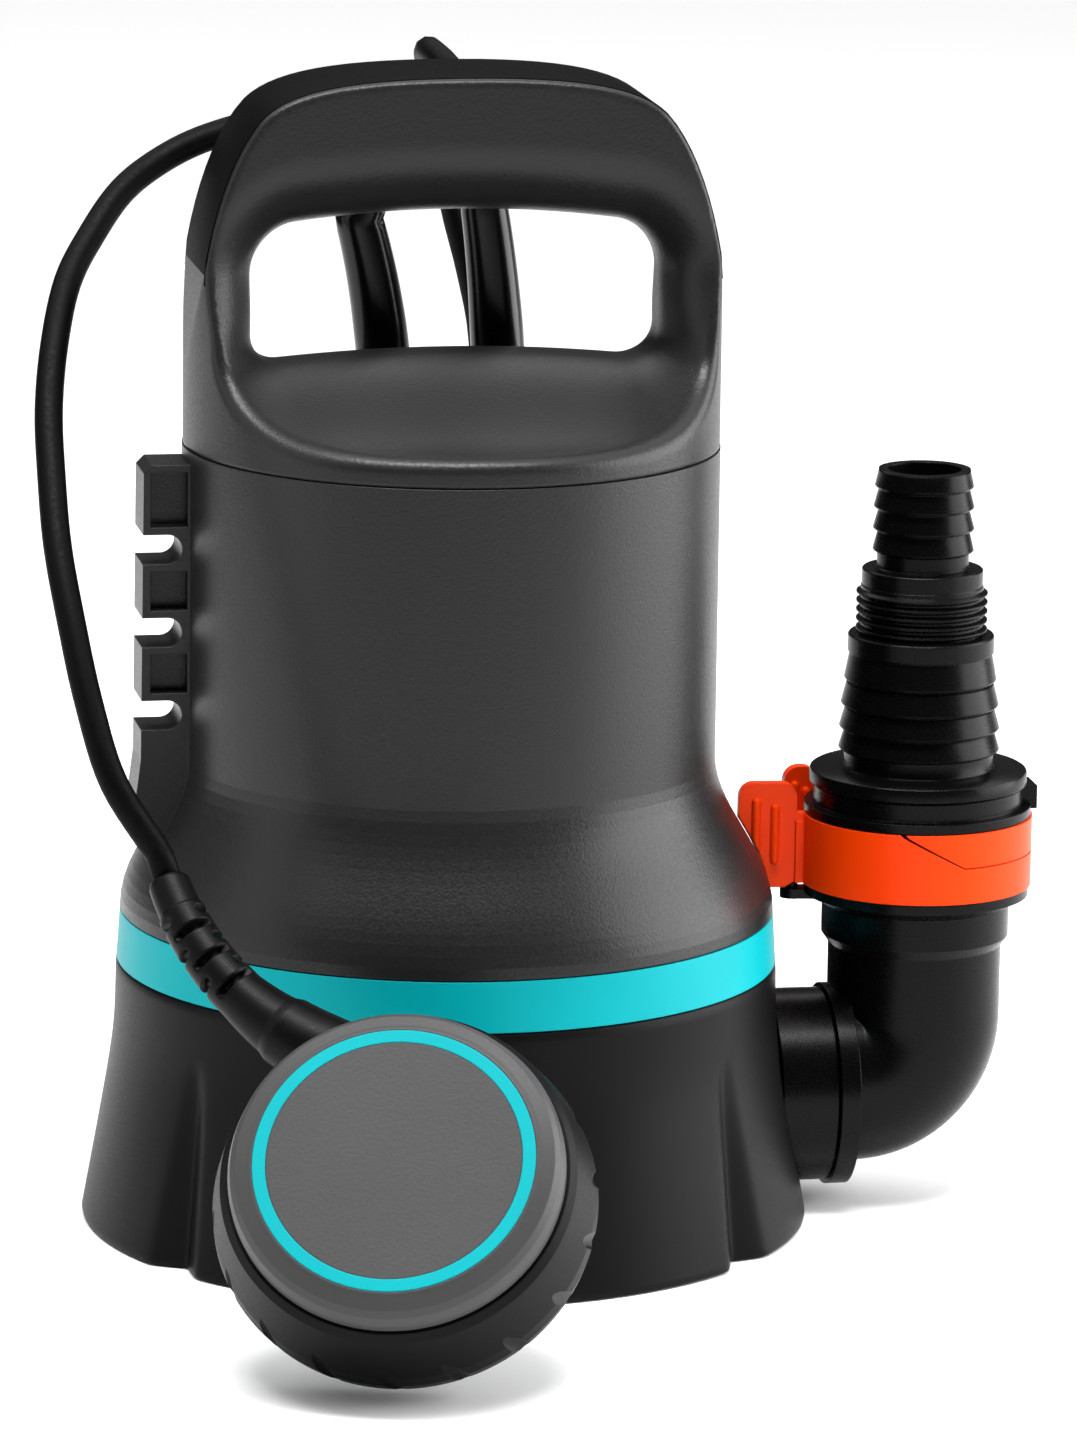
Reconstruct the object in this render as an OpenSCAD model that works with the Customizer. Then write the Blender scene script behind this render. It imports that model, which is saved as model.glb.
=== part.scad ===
// Submersible clear-water pump with a handle cap, a swivelling hose nozzle and a float switch.
// Millimetres. The origin is on the pump's axis at the floor, +Z up, -Y the front,
// +X the discharge side.

/* [Foot] */
// Height of the foot from the floor to the trim band
foot_h = 66; // [60:0.5:75]
// Radius of the foot where it meets the floor
rim_r = 91.8; // [88:0.2:96]
// Radius of the foot just under the trim band
waist_r = 83; // [80:0.2:85]
// Wall of the foot
foot_wall = 3.2; // [2.4:0.2:4]
// Number of flutes round the foot
flutes = 7; // [5:1:9]
// Height of a flute above the floor
flute_h = 52; // [40:1:58]
// Depth of a flute at the floor
flute_depth = 3; // [2:0.5:5]
// Height of the intake arches at the rear of the rim
arch_h = 4; // [2:0.5:6]
// Thickness of the strainer plate
strainer_t = 3; // [2:0.5:4]
// Slots in the strainer plate
strainer_slots = 24; // [12:2:32]

/* [Trim band] */
// Height of the trim band
band_h = 13.4; // [10:0.2:16]
// Gap that shows as a dark line above and below the band
band_line = 0.4; // [0.2:0.1:0.8]
// Thickness of the trim band
band_t = 3.6; // [3:0.2:4]

/* [Motor housing] */
// Radius of the straight wall
barrel_r = 67; // [65:0.5:69]
// Height of the shoulder between the trim band and the straight wall
shoulder_h = 38.6; // [34:0.2:44]
// Height of the straight wall
barrel_h = 79.2; // [72:0.2:90]
// Wall of the motor housing
housing_wall = 3; // [2.4:0.2:3.6]
// Thickness of the cord bracket
bracket_t = 16; // [12:1:20]
// How far the cord bracket stands out of the wall
bracket_reach = 11; // [9:0.5:13]
// Distance between the cord notches
notch_pitch = 20.9; // [18:0.1:22]
// Width of a cord notch
notch_w = 7.4; // [6.5:0.1:9]

/* [Handle cap] */
// Height of the handle cap
cap_h = 93.5; // [90:0.5:98]
// Depth of the handle, front to back
handle_t = 40; // [34:1:44]
// Radius of the scoops in front of and behind the handle
scoop_r = 44; // [41:0.5:46]
// Width of the handle opening
grip_w = 103.6; // [92:0.2:106]
// Height of the deck under the handle opening
deck_h = 23.2; // [22:0.2:27]
// Height of the bar over the handle opening
bar_h = 33.2; // [28:0.2:34]
// Width of the soft strap on the handle
strap_w = 36; // [24:1:37]
// Thickness of the soft strap on the handle
strap_t = 2; // [1.5:0.1:3]
// Wall of the handle cap
cap_wall = 3; // [2.4:0.2:3.6]

/* [Outlet] */
// Height of the outlet's axis
outlet_z = 29.4; // [28.4:0.2:32]
// Distance from the pump's axis to the nozzle's axis
nozzle_x = 120.9; // [118:0.1:124]
// Radius of the outlet stub
stub_r = 24.6; // [22:0.1:25]
// Radius of the waterway
bore_r = 15; // [13:0.5:16]
// Radius of the elbow's tube
elbow_r = 22; // [20.5:0.1:22.6]
// Bend radius of the elbow's centre line
elbow_bend = 16.2; // [12:0.2:18]
// Height of the collar's lower lip above the floor
collar_z = 78.6; // [76:0.2:82]
// Radius of the seat under the lock ring
seat_r = 26.8; // [26:0.1:27.2]
// Radius of the nozzle's spigot
spigot_r = 20; // [19:0.1:21]

/* [Lock ring] */
// Height of the lock ring
ring_h = 17.9; // [16:0.1:19]
// Outer radius of the lock ring
ring_r = 29.2; // [28.8:0.1:29.8]
// Length of the thumb tab
tab_l = 15; // [12:0.5:16]
// Height of the thumb tab
tab_h = 27; // [22:0.5:28]
// Thickness of the thumb tab
tab_t = 3.4; // [2.8:0.2:4]

/* [Hose nozzle] */
// Outside diameter of the nozzle's pipe thread
thread_d = 33.25; // [32:0.05:34]
// Radius of the small hose tail over its barbs
tail_small_r = 12.9; // [12:0.1:13.5]
// Radius of the large hose tail at its lowest barb
tail_large_r = 20.4; // [19:0.1:21]
// Radius of the nozzle's flange
flange_r = 27.6; // [26.5:0.1:28]

/* [Drive] */
// Radius of the impeller
impeller_r = 50; // [44:0.5:52]
// Number of impeller vanes
vanes = 6; // [4:1:8]
// Radius of the motor shaft
shaft_r = 6; // [5.5:0.1:6.5]
// Radius of the motor's rotor
rotor_r = 30; // [26:0.5:32]
// Height of the stator's core
core_h = 50; // [40:1:56]
// Radius of the motor can
can_r = 56.5; // [54:0.5:58]
// Number of balls in a bearing
balls = 8; // [6:1:9]

/* [Float switch] */
// Largest radius of the float
float_r = 45.6; // [42:0.2:48]
// Depth of the float
float_t = 40; // [38:1:46]
// Outer radius of the coloured ring on the float
float_ring_r = 33.2; // [31:0.1:34]
// Width of the coloured ring on the float
float_ring_w = 3.1; // [2.4:0.1:4]
// Angle of the float's face above level
float_tilt = 39; // [30:1:50]
// Length of the float's sleeve
sleeve_l = 60.8; // [50:0.2:66]
// Travel of the switching ball
ball_travel = 16; // [12:0.5:18]

/* [Cords] */
// Diameter of the mains cord
mains_d = 7; // [6.4:0.1:7.6]
// Diameter of the float's cord
float_cord_d = 7; // [6:0.1:7.4]
// Loops in the put-away mains cord
coil_turns = 23.25; // [15.25:1:23.25]
// Radius of the coil at mid-turn
coil_r = 61; // [58:0.5:62]

/* [Clearances] */
// Gap between pieces of different bodies
gap = 0.3; // [0.2:0.05:0.4]
// Radial clearance of a running fit
fit = 0.05; // [0.02:0.01:0.09]
// Gap between neighbouring turns of the coil
turn_gap = 0.5; // [0.45:0.05:0.8]

/* [Hidden] */
$fn = 96;

// Heights of the stacked casings
band_z = foot_h;
band_top = band_z + band_h;
barrel_z = band_top + shoulder_h;
seam_z = barrel_z + barrel_h;
top_z = seam_z + cap_h;

// Place of the first flute, measured from the front towards +X
flute_turn = -5;

// A point on a cubic curve
function bezier(p, t) =
    pow(1 - t, 3) * p[0] + 3 * pow(1 - t, 2) * t * p[1] + 3 * (1 - t) * t * t * p[2]
    + pow(t, 3) * p[3];
function curve(p, n) = [for (i = [0 : n]) bezier(p, i / n)];
function shift(pts, d) = [for (q = pts) q + d];
function backwards(pts) = [for (i = [len(pts) - 1 : -1 : 0]) pts[i]];

// Direction in plan at an angle counted from the front (-Y) towards +X
function ahead(a) = [sin(a), -cos(a)];

module ring(r_out, r_in, h, z = 0) {
    translate([0, 0, z])
        difference() {
            cylinder(r = r_out, h = h);
            translate([0, 0, -1])
                cylinder(r = r_in, h = h + 2);
        }
}

module around(n, r, from = 0) {
    for (i = [0 : n - 1])
        rotate([0, 0, from + i * 360 / n])
            translate([r, 0, 0])
                children();
}

// ---------------------------------------------------------------- Foot
foot_line = curve([[waist_r, foot_h], [waist_r + 0.2, foot_h - 16],
                   [rim_r - 4.4, foot_h - 38], [rim_r, 0]], 10);
foot_plate_t = 4.8;
spigot_h = 17;
spigot_out = waist_r - band_t - 0.8;
carrier_r = waist_r - 23;
screw_ring = waist_r - 16;

// The foot's outer form, or the form inside its wall
module foot_form(inset, low = 0, high = foot_h) {
    rotate_extrude()
        polygon(concat([[0, low], [0, high], [waist_r - inset, high]],
                       [for (q = foot_line) if (q[1] < high - 0.01) q - [inset, 0]],
                       [[rim_r - inset, low]]));
}

// V-shaped wedges that lean outwards and cut the flutes
flute_v = 63;
module flute_wedges(grow) {
    side = 24;
    lean = atan((rim_r - flute_depth - waist_r - 0.6) / flute_h);
    for (i = [0 : flutes - 1])
        rotate([0, 0, -90 + flute_turn + i * 360 / flutes])
            intersection() {
                translate([waist_r + 0.6 - grow, 0, flute_h])
                    rotate([0, 180 - lean, 0])
                        translate([0, 0, -20])
                            linear_extrude(height = flute_h + 40)
                                polygon([[0, 0], [-side, side * tan(flute_v)],
                                         [-side, -side * tan(flute_v)]]);
                translate([0, -60, -1])
                    cube([rim_r + 10, 120, flute_h + 8]);
            }
}

// Low arches under the rear of the rim, where the water comes in
module intake_arches() {
    for (a = [130 : 25 : 230])
        rotate([0, 0, -90 + a])
            translate([rim_r - 14, -8, -1])
                cube([20, 16, arch_h + 1]);
}

module suction_foot() {
    color("#26282a")
        difference() {
            union() {
                difference() {
                    foot_form(0);
                    flute_wedges(0);
                    // Space inside the wall, with the flutes standing into it
                    difference() {
                        foot_form(foot_wall, -1, foot_h - foot_plate_t);
                        flute_wedges(foot_wall * 1.5);
                    }
                }
                ring(spigot_out, spigot_out - 2.6, spigot_h + 1, foot_h - 1);
            }
            translate([0, 0, foot_h - foot_plate_t - 1])
                cylinder(r = carrier_r + gap, h = foot_plate_t + 2);
            translate([0, 0, outlet_z])
                rotate([0, 90, 0])
                    cylinder(r = stub_r + gap, h = rim_r + 10);
            around(4, screw_ring, 45)
                translate([0, 0, foot_h - foot_plate_t - 1])
                    cylinder(r = 2.2, h = foot_plate_t + 2, $fn = 32);
            intake_arches();
        }
}

// Plate under the volute with slots, and a disc that stands on the floor
strainer_z = 5;
strainer_r = rim_r - flute_depth - foot_wall * 1.5 - 1.6;
slot_in = 30;
slot_l = strainer_r - slot_in - 5;
cover_z = 11;
cover_t = 3;
volute_r = impeller_r + 12;
post_ring = volute_r - 4;
module strainer_plate() {
    color("#2b2d2f")
        difference() {
            union() {
                translate([0, 0, strainer_z])
                    cylinder(r = strainer_r, h = strainer_t);
                cylinder(r = 14, h = strainer_z + 1);
                around(3, post_ring, 30)
                    translate([0, 0, strainer_z])
                        cylinder(r = 4, h = cover_z - 0.1 - strainer_z, $fn = 32);
            }
            difference() {
                around(strainer_slots, slot_in)
                    translate([0, -2, strainer_z - 1])
                        cube([slot_l, 4, strainer_t + 2]);
                around(3, post_ring, 30)
                    cylinder(r = 6, h = cover_z, $fn = 32);
            }
        }
}

// ---------------------------------------------------------------- Trim band
module trim_band() {
    color("#00b4c0")
        rotate_extrude()
            polygon([[waist_r - band_t, band_z + band_line], [waist_r, band_z + band_line],
                     [waist_r - 0.8, band_top - band_line],
                     [waist_r - band_t, band_top - band_line]]);
}

// ---------------------------------------------------------------- Motor housing
shoulder_line = curve([[waist_r - 0.8, band_top], [waist_r - 0.8, band_top + 13],
                       [barrel_r + 0.5, barrel_z - 14], [barrel_r, barrel_z]], 14);
boss_z = foot_h + 3.8;
boss_r = 4.5;
cap_screw_ring = barrel_r - 9.5;
cap_flange_t = 5;
cap_flange_in = barrel_r - 14.5;
bracket_out = barrel_r + bracket_reach;
bracket_top = seam_z - 3.2;
bracket_low = barrel_z - 18;
notch_top = seam_z - 24.3;
notch_depth = 9.6;

// The housing's outer form, or the form inside its wall
module housing_form(inset, low = band_top, high = seam_z) {
    rotate_extrude()
        polygon(concat([[0, low], [waist_r - 0.8 - inset, low]],
                       shift(shoulder_line, [-inset, 0]),
                       [[barrel_r - inset, high], [0, high]]));
}

// A notch, open to the left, with a round bottom
module cord_notch() {
    reach = notch_depth - notch_w / 2;
    translate([reach, 0])
        circle(d = notch_w, $fn = 40);
    translate([-4, -notch_w / 2])
        square([reach + 4, notch_w]);
}

module bracket_outline() {
    root = -barrel_r + housing_wall - 1;
    difference() {
        polygon([[root, bracket_top], [2 - bracket_out, bracket_top],
                 [-bracket_out, bracket_top - 2], [-bracket_out - 0.6, barrel_z + 2],
                 [-bracket_out - 2.6, bracket_low + 4], [-barrel_r - 6, bracket_low - 6],
                 [root, bracket_low]]);
        for (i = [0 : 2])
            translate([-bracket_out, notch_top - i * notch_pitch])
                cord_notch();
    }
}

// Hollows in both faces of the bracket, over each notch
module bracket_pockets() {
    web = 7;
    wall = 1.8;
    for (y = [-bracket_t, web / 2], i = [0 : 2]) {
        low = notch_top - i * notch_pitch + notch_w / 2 + wall;
        high = i == 0 ? bracket_top - wall : low + notch_pitch - notch_w - 2 * wall;
        translate([wall - bracket_out, y, low])
            cube([bracket_reach - wall, bracket_t - web / 2, high - low]);
    }
}

module cord_bracket() {
    difference() {
        rotate([90, 0, 0])
            translate([0, 0, -bracket_t / 2])
                linear_extrude(height = bracket_t)
                    bracket_outline();
        housing_form(0.5);
        bracket_pockets();
    }
}

// Screw bosses that run up into the wall
module housing_bosses() {
    intersection() {
        around(4, screw_ring, 45)
            translate([0, 0, boss_z]) {
                cylinder(r = boss_r, h = barrel_z - 5 - boss_z, $fn = 40);
                translate([0, -1.5, band_top + 4 - boss_z])
                    cube([16, 3, barrel_z - band_top - 10]);
            }
        union() {
            cylinder(r = screw_ring + boss_r + 0.1, h = band_top + 6);
            housing_form(1);
        }
    }
}

module motor_housing() {
    color("#3b3d40")
        difference() {
            union() {
                difference() {
                    housing_form(0);
                    housing_form(housing_wall, band_top - 1, seam_z + 1);
                }
                ring(barrel_r - 1, cap_flange_in, cap_flange_t, seam_z - cap_flange_t);
                housing_bosses();
                cord_bracket();
            }
            around(4, screw_ring, 45)
                translate([0, 0, boss_z - 1])
                    cylinder(r = 2.05, h = 22, $fn = 32);
            around(4, cap_screw_ring, 45)
                translate([0, 0, seam_z - cap_flange_t - 1])
                    cylinder(r = 2.2, h = cap_flange_t + 2, $fn = 32);
        }
}

// ---------------------------------------------------------------- Handle cap
cap_r = barrel_r - 0.2;
scoop_y = handle_t / 2 + scoop_r;
scoop_z = seam_z + cap_h - 40.7;
grip_low = seam_z + deck_h;
grip_high = top_z - bar_h;
side_line = curve([[cap_r, seam_z + 17.8], [cap_r, seam_z + 44],
                   [cap_r - 5, top_z - 24], [cap_r - 15.4, top_z - 10.8]], 8);
crown_line = curve([[cap_r - 15.4, top_z - 10.8], [cap_r - 21.5, top_z - 3],
                    [30, top_z], [0, top_z]], 8);
cap_line = concat([[cap_r, seam_z]], side_line, crown_line);
boot_y = 45;
gasket_r = barrel_r - 1.8;
gasket_w = 1;

// The cap's outline from the front, set in by a margin that moves it towards the grip
module cap_outline(inset = 0, low = seam_z) {
    half = [for (q = cap_line) [q[0] * (1 - inset / cap_r), q[1] - (q[1] > seam_z + 18
            ? inset * (q[1] - seam_z - 18) / (cap_h - 18) : 0)]];
    polygon(concat([[0, low], [half[0][0], low]], half,
                   [for (q = backwards(half)) [-q[0], q[1]]], [[-half[0][0], low]]));
}

// The hole for the hand: round corners, an arched top, and a crowned deck for its floor
deck_crown = 410;
grip_arch = 300;
module grip_outline() {
    corner = 11;
    w = grip_w / 2;
    intersection() {
        difference() {
            union() {
                translate([-w + corner, grip_low - 4])
                    square([2 * (w - corner), grip_high - grip_low + 4]);
                translate([-w, grip_low + corner - 4])
                    square([2 * w, grip_high - grip_low - 2 * corner + 4]);
                for (x = [-1, 1], z = [grip_low + corner - 4, grip_high - corner])
                    translate([x * (w - corner), z])
                        circle(r = corner, $fn = 48);
            }
            translate([0, grip_low - deck_crown])
                circle(r = deck_crown, $fn = 360);
        }
        translate([0, grip_high - grip_arch])
            circle(r = grip_arch, $fn = 360);
    }
}

module along_y(depth) {
    rotate([90, 0, 0])
        translate([0, 0, -depth / 2])
            linear_extrude(height = depth)
                children();
}

// The round scoops, and the space above them, in front of and behind the handle
module scoops(r) {
    for (side = [-1, 1]) {
        translate([-100, side * scoop_y, scoop_z])
            rotate([0, 90, 0])
                cylinder(r = r, h = 200, $fn = 180);
        translate([-100, side > 0 ? scoop_y - r : -scoop_y - 60, scoop_z])
            cube([200, r + 60, 100]);
    }
}

// Lean of the two boots: place of the foot, and the direction that each boot takes
float_boot_at = [-8, boot_y + 1, seam_z + 8];
float_boot_turn = [0, -10, 0];
mains_boot_at = [19.2, boot_y - 2.5, seam_z + 8];
mains_boot_turn = [0, -5.4, 0];
boot_l = 44;
boot_r = 6.2;

module boot_place(at, turn) {
    translate(at)
        rotate(turn)
            children();
}

module strap_recess(deep) {
    difference() {
        along_y(strap_w)
            difference() {
                cap_outline();
                cap_outline(deep);
            }
        translate([-100, -100, 0])
            cube([200, 200, seam_z + 43]);
    }
}

module handle_cap() {
    color("#3b3d40")
        difference() {
            intersection() {
                along_y(2 * cap_r + 2)
                    cap_outline();
                translate([0, 0, seam_z])
                    cylinder(r = cap_r, h = cap_h + 1);
            }
            scoops(scoop_r);
            along_y(100)
                grip_outline();
            strap_recess(strap_t);
            // Hollow under the deck, with bosses for the cap screws
            difference() {
                translate([0, 0, seam_z - 1])
                    cylinder(r = cap_r - cap_wall, h = deck_h + 1 - cap_wall);
                scoops(scoop_r + cap_wall);
                around(4, cap_screw_ring, 45)
                    translate([0, 0, seam_z])
                        cylinder(r = boss_r, h = deck_h, $fn = 40);
            }
            around(4, cap_screw_ring, 45)
                translate([0, 0, seam_z - 1])
                    cylinder(r = 2.05, h = 8, $fn = 32);
            ring(gasket_r + gasket_w / 2 + 0.05, gasket_r - gasket_w / 2 - 0.05, 2.3, seam_z - 1);
            boot_place(float_boot_at, float_boot_turn)
                translate([0, 0, -6])
                    cylinder(r = boot_r + fit, h = 20);
            boot_place(mains_boot_at, mains_boot_turn)
                translate([0, 0, -6])
                    cylinder(r = boot_r + fit, h = 20);
        }
}

module grip_strap() {
    color("#1d1e20")
        difference() {
            strap_recess(strap_t - 0.05);
            translate([-100, -100, 0])
                cube([200, 200, seam_z + 43.1]);
            for (side = [-1, 1])
                translate([-100, side > 0 ? strap_w / 2 - 0.1 : -strap_w / 2 - 1.9, 0])
                    cube([200, 2, 400]);
        }
}

module cap_gasket() {
    color("#111111")
        ring(gasket_r + gasket_w / 2, gasket_r - gasket_w / 2, 1.2, seam_z);
}

// A cross-head screw, head down, with its head under z = 0
module screw(r, l, head_r, head_h) {
    difference() {
        union() {
            cylinder(r = r, h = l, $fn = 32);
            translate([0, 0, -head_h])
                cylinder(r = head_r, h = head_h, $fn = 40);
        }
        for (a = [0, 90])
            rotate([0, 0, a])
                translate([-head_r * 0.6, -0.5, -head_h - 1])
                    cube([head_r * 1.2, 1, 2.2]);
    }
}

module cap_screws() {
    color("silver")
        around(4, cap_screw_ring, 45)
            translate([0, 0, seam_z - cap_flange_t])
                screw(2, cap_flange_t + 6.5, 3.8, 2.6);
}

module foot_screws() {
    color("silver")
        around(4, screw_ring, 45)
            translate([0, 0, foot_h - foot_plate_t])
                screw(2, 24, 3.8, 2.6);
}

// ---------------------------------------------------------------- Pump chamber
chamber_r = impeller_r + 6;
chamber_z = cover_z + cover_t;
chamber_top = outlet_z + bore_r + 1;
lid_t = 3;
volute_top = chamber_top + lid_t;
hub_r = 10;
tip_r = 5;
stub_end = nozzle_x - elbow_r - 2;
stub_spigot_r = 18.4;
stub_spigot_l = 9;

module volute() {
    color("#2b2d2f")
        difference() {
            union() {
                translate([0, 0, chamber_z + 0.05])
                    cylinder(r = volute_r, h = volute_top - chamber_z - 0.05);
                around(4, post_ring + 3, 45)
                    translate([0, 0, chamber_z + 0.4])
                        cylinder(r = 5, h = 14, $fn = 40);
                // Outlet pipe, cut off over the cover and wide outside the strainer
                difference() {
                    translate([volute_r / 2, 0, outlet_z])
                        rotate([0, 90, 0])
                            cylinder(r = stub_spigot_r,
                                     h = stub_end + stub_spigot_l - volute_r / 2);
                    translate([0, 0, cover_z - 5])
                        cylinder(r = volute_r + gap, h = cover_t + 5.25);
                }
                translate([strainer_r + gap, 0, outlet_z])
                    rotate([0, 90, 0])
                        cylinder(r = stub_r, h = stub_end - strainer_r - gap);
            }
            translate([0, 0, chamber_z - 1])
                cylinder(r = chamber_r, h = chamber_top - chamber_z + 1);
            translate([0, 0, chamber_z])
                cylinder(r = hub_r + 1, h = 60);
            // The waterway, which stays inside the chamber's height
            translate([chamber_r - 12, 0, outlet_z])
                rotate([0, 90, 0])
                    cylinder(r = bore_r, h = nozzle_x);
            around(4, post_ring + 3, 45)
                translate([0, 0, chamber_z - 1])
                    cylinder(r = 1.55, h = 12, $fn = 32);
            // Groove for the stub's seal
            translate([stub_end + 3.4, 0, outlet_z])
                rotate([0, 90, 0])
                    difference() {
                        cylinder(r = stub_spigot_r + 2, h = 3);
                        translate([0, 0, -1])
                            cylinder(r = stub_spigot_r - 1.6, h = 5);
                    }
        }
}

// Bottom plate of the chamber, with the inlet eye
eye_r = 17;
module volute_cover() {
    color("#303234")
        difference() {
            union() {
                translate([0, 0, cover_z])
                    cylinder(r = volute_r, h = cover_t);
                around(4, post_ring + 3, 45)
                    translate([0, 0, cover_z + 0.3])
                        cylinder(r = 5, h = cover_t - 0.6, $fn = 40);
                translate([0, 0, cover_z + 1])
                    cylinder(r = eye_r + 3, h = cover_t + 0.5);
            }
            translate([0, 0, cover_z - 1])
                cylinder(r = eye_r, h = cover_t + 4);
            around(4, post_ring + 3, 45)
                translate([0, 0, cover_z - 1])
                    cylinder(r = 1.7, h = cover_t + 2, $fn = 32);
        }
}

module volute_screws() {
    color("silver")
        around(4, post_ring + 3, 45)
            translate([0, 0, cover_z])
                screw(1.5, 12, 2.8, 2);
}

// Oil chamber between the pump and the motor, with the lower bearing's seat
carrier_top = band_top - 0.3;
bearing_h = 10;
lower_bearing_z = carrier_top - bearing_h - 2;
bearing_out = 16;
seal_out = 12;
module seal_carrier() {
    color("#55585c")
        difference() {
            union() {
                translate([0, 0, volute_top + 0.05])
                    cylinder(r = carrier_r, h = carrier_top - volute_top - 0.05);
                translate([0, 0, foot_h + 0.05])
                    cylinder(r = screw_ring + boss_r, h = boss_z - foot_h - 0.1);
            }
            translate([0, 0, volute_top - 1])
                cylinder(r = seal_out + 0.02, h = carrier_top);
            translate([0, 0, lower_bearing_z])
                cylinder(r = bearing_out + 0.02, h = 30);
            // Oil space
            rotate_extrude()
                polygon([[20, volute_top + 4], [carrier_r - 4, volute_top + 4],
                         [carrier_r - 4, lower_bearing_z - 4], [20, lower_bearing_z - 4]]);
            around(4, screw_ring, 45)
                translate([0, 0, foot_h - 1])
                    cylinder(r = 2.2, h = 8, $fn = 32);
        }
}

seal_h = (lower_bearing_z - volute_top - 6) / 2;
module shaft_seals() {
    color("#222222")
        for (z = [volute_top + 1, volute_top + 2 + seal_h])
            ring(seal_out, shaft_r + fit, seal_h, z);
}

// ---------------------------------------------------------------- Motor
can_z = carrier_top + 0.05;
can_t = 1.5;
can_top = can_z + 98;
upper_bearing_h = 9;
upper_bearing_out = 15;
upper_bearing_z = can_top - can_t - upper_bearing_h - 0.1;
core_z = can_z + 21;
winding_h = 13;
stator_in = rotor_r + 0.5;
stator_out = can_r - can_t - 0.1;

module motor_can() {
    color("#9a9c9e")
        difference() {
            union() {
                translate([0, 0, can_z])
                    cylinder(r = can_r, h = can_top - can_z);
            }
            translate([0, 0, can_z - 1])
                cylinder(r = can_r - can_t, h = upper_bearing_z - can_z - 2);
            translate([0, 0, upper_bearing_z])
                cylinder(r = upper_bearing_out + 0.02, h = upper_bearing_h + 0.1);
            translate([0, 0, can_z])
                cylinder(r = 11, h = upper_bearing_z - can_z + 1);
        }
}

slots = 24;
module stator_core() {
    color("#7d7f82")
        difference() {
            ring(stator_out, stator_in, core_h, core_z);
            around(slots, 36)
                translate([0, -1.9, core_z - 1])
                    cube([11, 3.8, core_h + 2]);
            around(slots, 29)
                translate([0, -0.7, core_z - 1])
                    cube([8, 1.4, core_h + 2]);
        }
}

module stator_windings() {
    near = rotor_r + 5;
    far = stator_out - 3.9;
    high = winding_h;
    color("#b8662c")
        for (z = [core_z - winding_h - 0.05, core_z + core_h + 0.05])
            translate([0, 0, z])
                rotate_extrude()
                    polygon([[near, 1], [near + 2, 0], [far - 3, 0], [far, 3], [far, high - 3],
                             [far - 3, high], [near + 2, high], [near, high - 1]]);
}

capacitor_r = 11;
capacitor_l = 56;
module run_capacitor() {
    color("#d9d9d6")
        translate([2 - capacitor_l / 2 - 4, 0, can_top + capacitor_r + gap])
            rotate([0, 90, 0])
                union() {
                    cylinder(r = capacitor_r, h = capacitor_l);
                    translate([0, 0, capacitor_l - 1])
                        cylinder(r = 4, h = 6);
                }
}

// One bearing's outer race with a ball groove
module race(r_out, r_in, h, z, groove_r, ball) {
    translate([0, 0, z])
        rotate_extrude()
            difference() {
                translate([r_in, 0])
                    square([r_out - r_in, h]);
                translate([groove_r, h / 2])
                    circle(r = ball + fit, $fn = 48);
            }
}

lower_ball = 2.6;
lower_pitch = 11;
upper_ball = 2.4;
upper_pitch = 10;
upper_shaft_r = 5;
module bearing_outer_races() {
    color("#c4c6c8") {
        race(bearing_out, lower_pitch + 1.6, bearing_h, lower_bearing_z, lower_pitch, lower_ball);
        race(upper_bearing_out, upper_pitch + 1.5, upper_bearing_h, upper_bearing_z,
             upper_pitch, upper_ball);
    }
}

module bearing_balls() {
    color("#e0e2e4") {
        around(balls, lower_pitch)
            translate([0, 0, lower_bearing_z + bearing_h / 2])
                sphere(r = lower_ball, $fn = 32);
        around(balls, upper_pitch)
            translate([0, 0, upper_bearing_z + upper_bearing_h / 2])
                sphere(r = upper_ball, $fn = 32);
    }
}

module bearing_inner_races() {
    color("#c4c6c8") {
        race(lower_pitch - 1.6, shaft_r + 0.02, bearing_h, lower_bearing_z, lower_pitch,
             lower_ball);
        race(upper_pitch - 1.5, upper_shaft_r + 0.02, upper_bearing_h, upper_bearing_z,
             upper_pitch, upper_ball);
    }
}

impeller_z = chamber_z + 4;
impeller_top = chamber_top - 3;
module motor_shaft() {
    color("#b0b3b6")
        union() {
            translate([0, 0, impeller_z - 5])
                cylinder(r = tip_r, h = impeller_top - impeller_z + 6);
            translate([0, 0, impeller_top + 0.5])
                cylinder(r = shaft_r, h = upper_bearing_z - impeller_top - 0.8);
            translate([0, 0, upper_bearing_z - 1])
                cylinder(r = upper_shaft_r, h = upper_bearing_h + 0.6);
        }
}

module rotor_core() {
    color("#8a8d90")
        difference() {
            union() {
                ring(rotor_r, shaft_r + 0.02, core_h - 2, core_z + 1);
                ring(rotor_r - 4, rotor_r - 10, core_h + 8, core_z - 4);
            }
            around(6, 13)
                translate([0, 0, core_z - 5])
                    cylinder(r = 2.5, h = core_h + 10, $fn = 32);
        }
}

// Curved vanes under a back disc, round a hub
module impeller() {
    vane_r = 36;
    color("#3a3c3e")
        difference() {
            union() {
                translate([0, 0, impeller_top - 3])
                    cylinder(r = impeller_r, h = 3);
                translate([0, 0, impeller_z])
                    cylinder(r = hub_r, h = impeller_top - impeller_z);
                intersection() {
                    difference() {
                        translate([0, 0, impeller_z + 2])
                            cylinder(r = impeller_r, h = impeller_top - impeller_z - 3);
                        translate([0, 0, impeller_z + 1])
                            cylinder(r1 = 26, r2 = hub_r, h = 8);
                    }
                    for (i = [0 : vanes - 1])
                        rotate([0, 0, i * 360 / vanes])
                            translate([vane_r - 7, 0, 0])
                                translate([0, vane_r - 14, 0])
                                    ring(vane_r - 6, vane_r - 8.4, impeller_top, 0);
                }
            }
            translate([0, 0, impeller_z - 1])
                cylinder(r = tip_r + 0.02, h = 60);
        }
}

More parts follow.
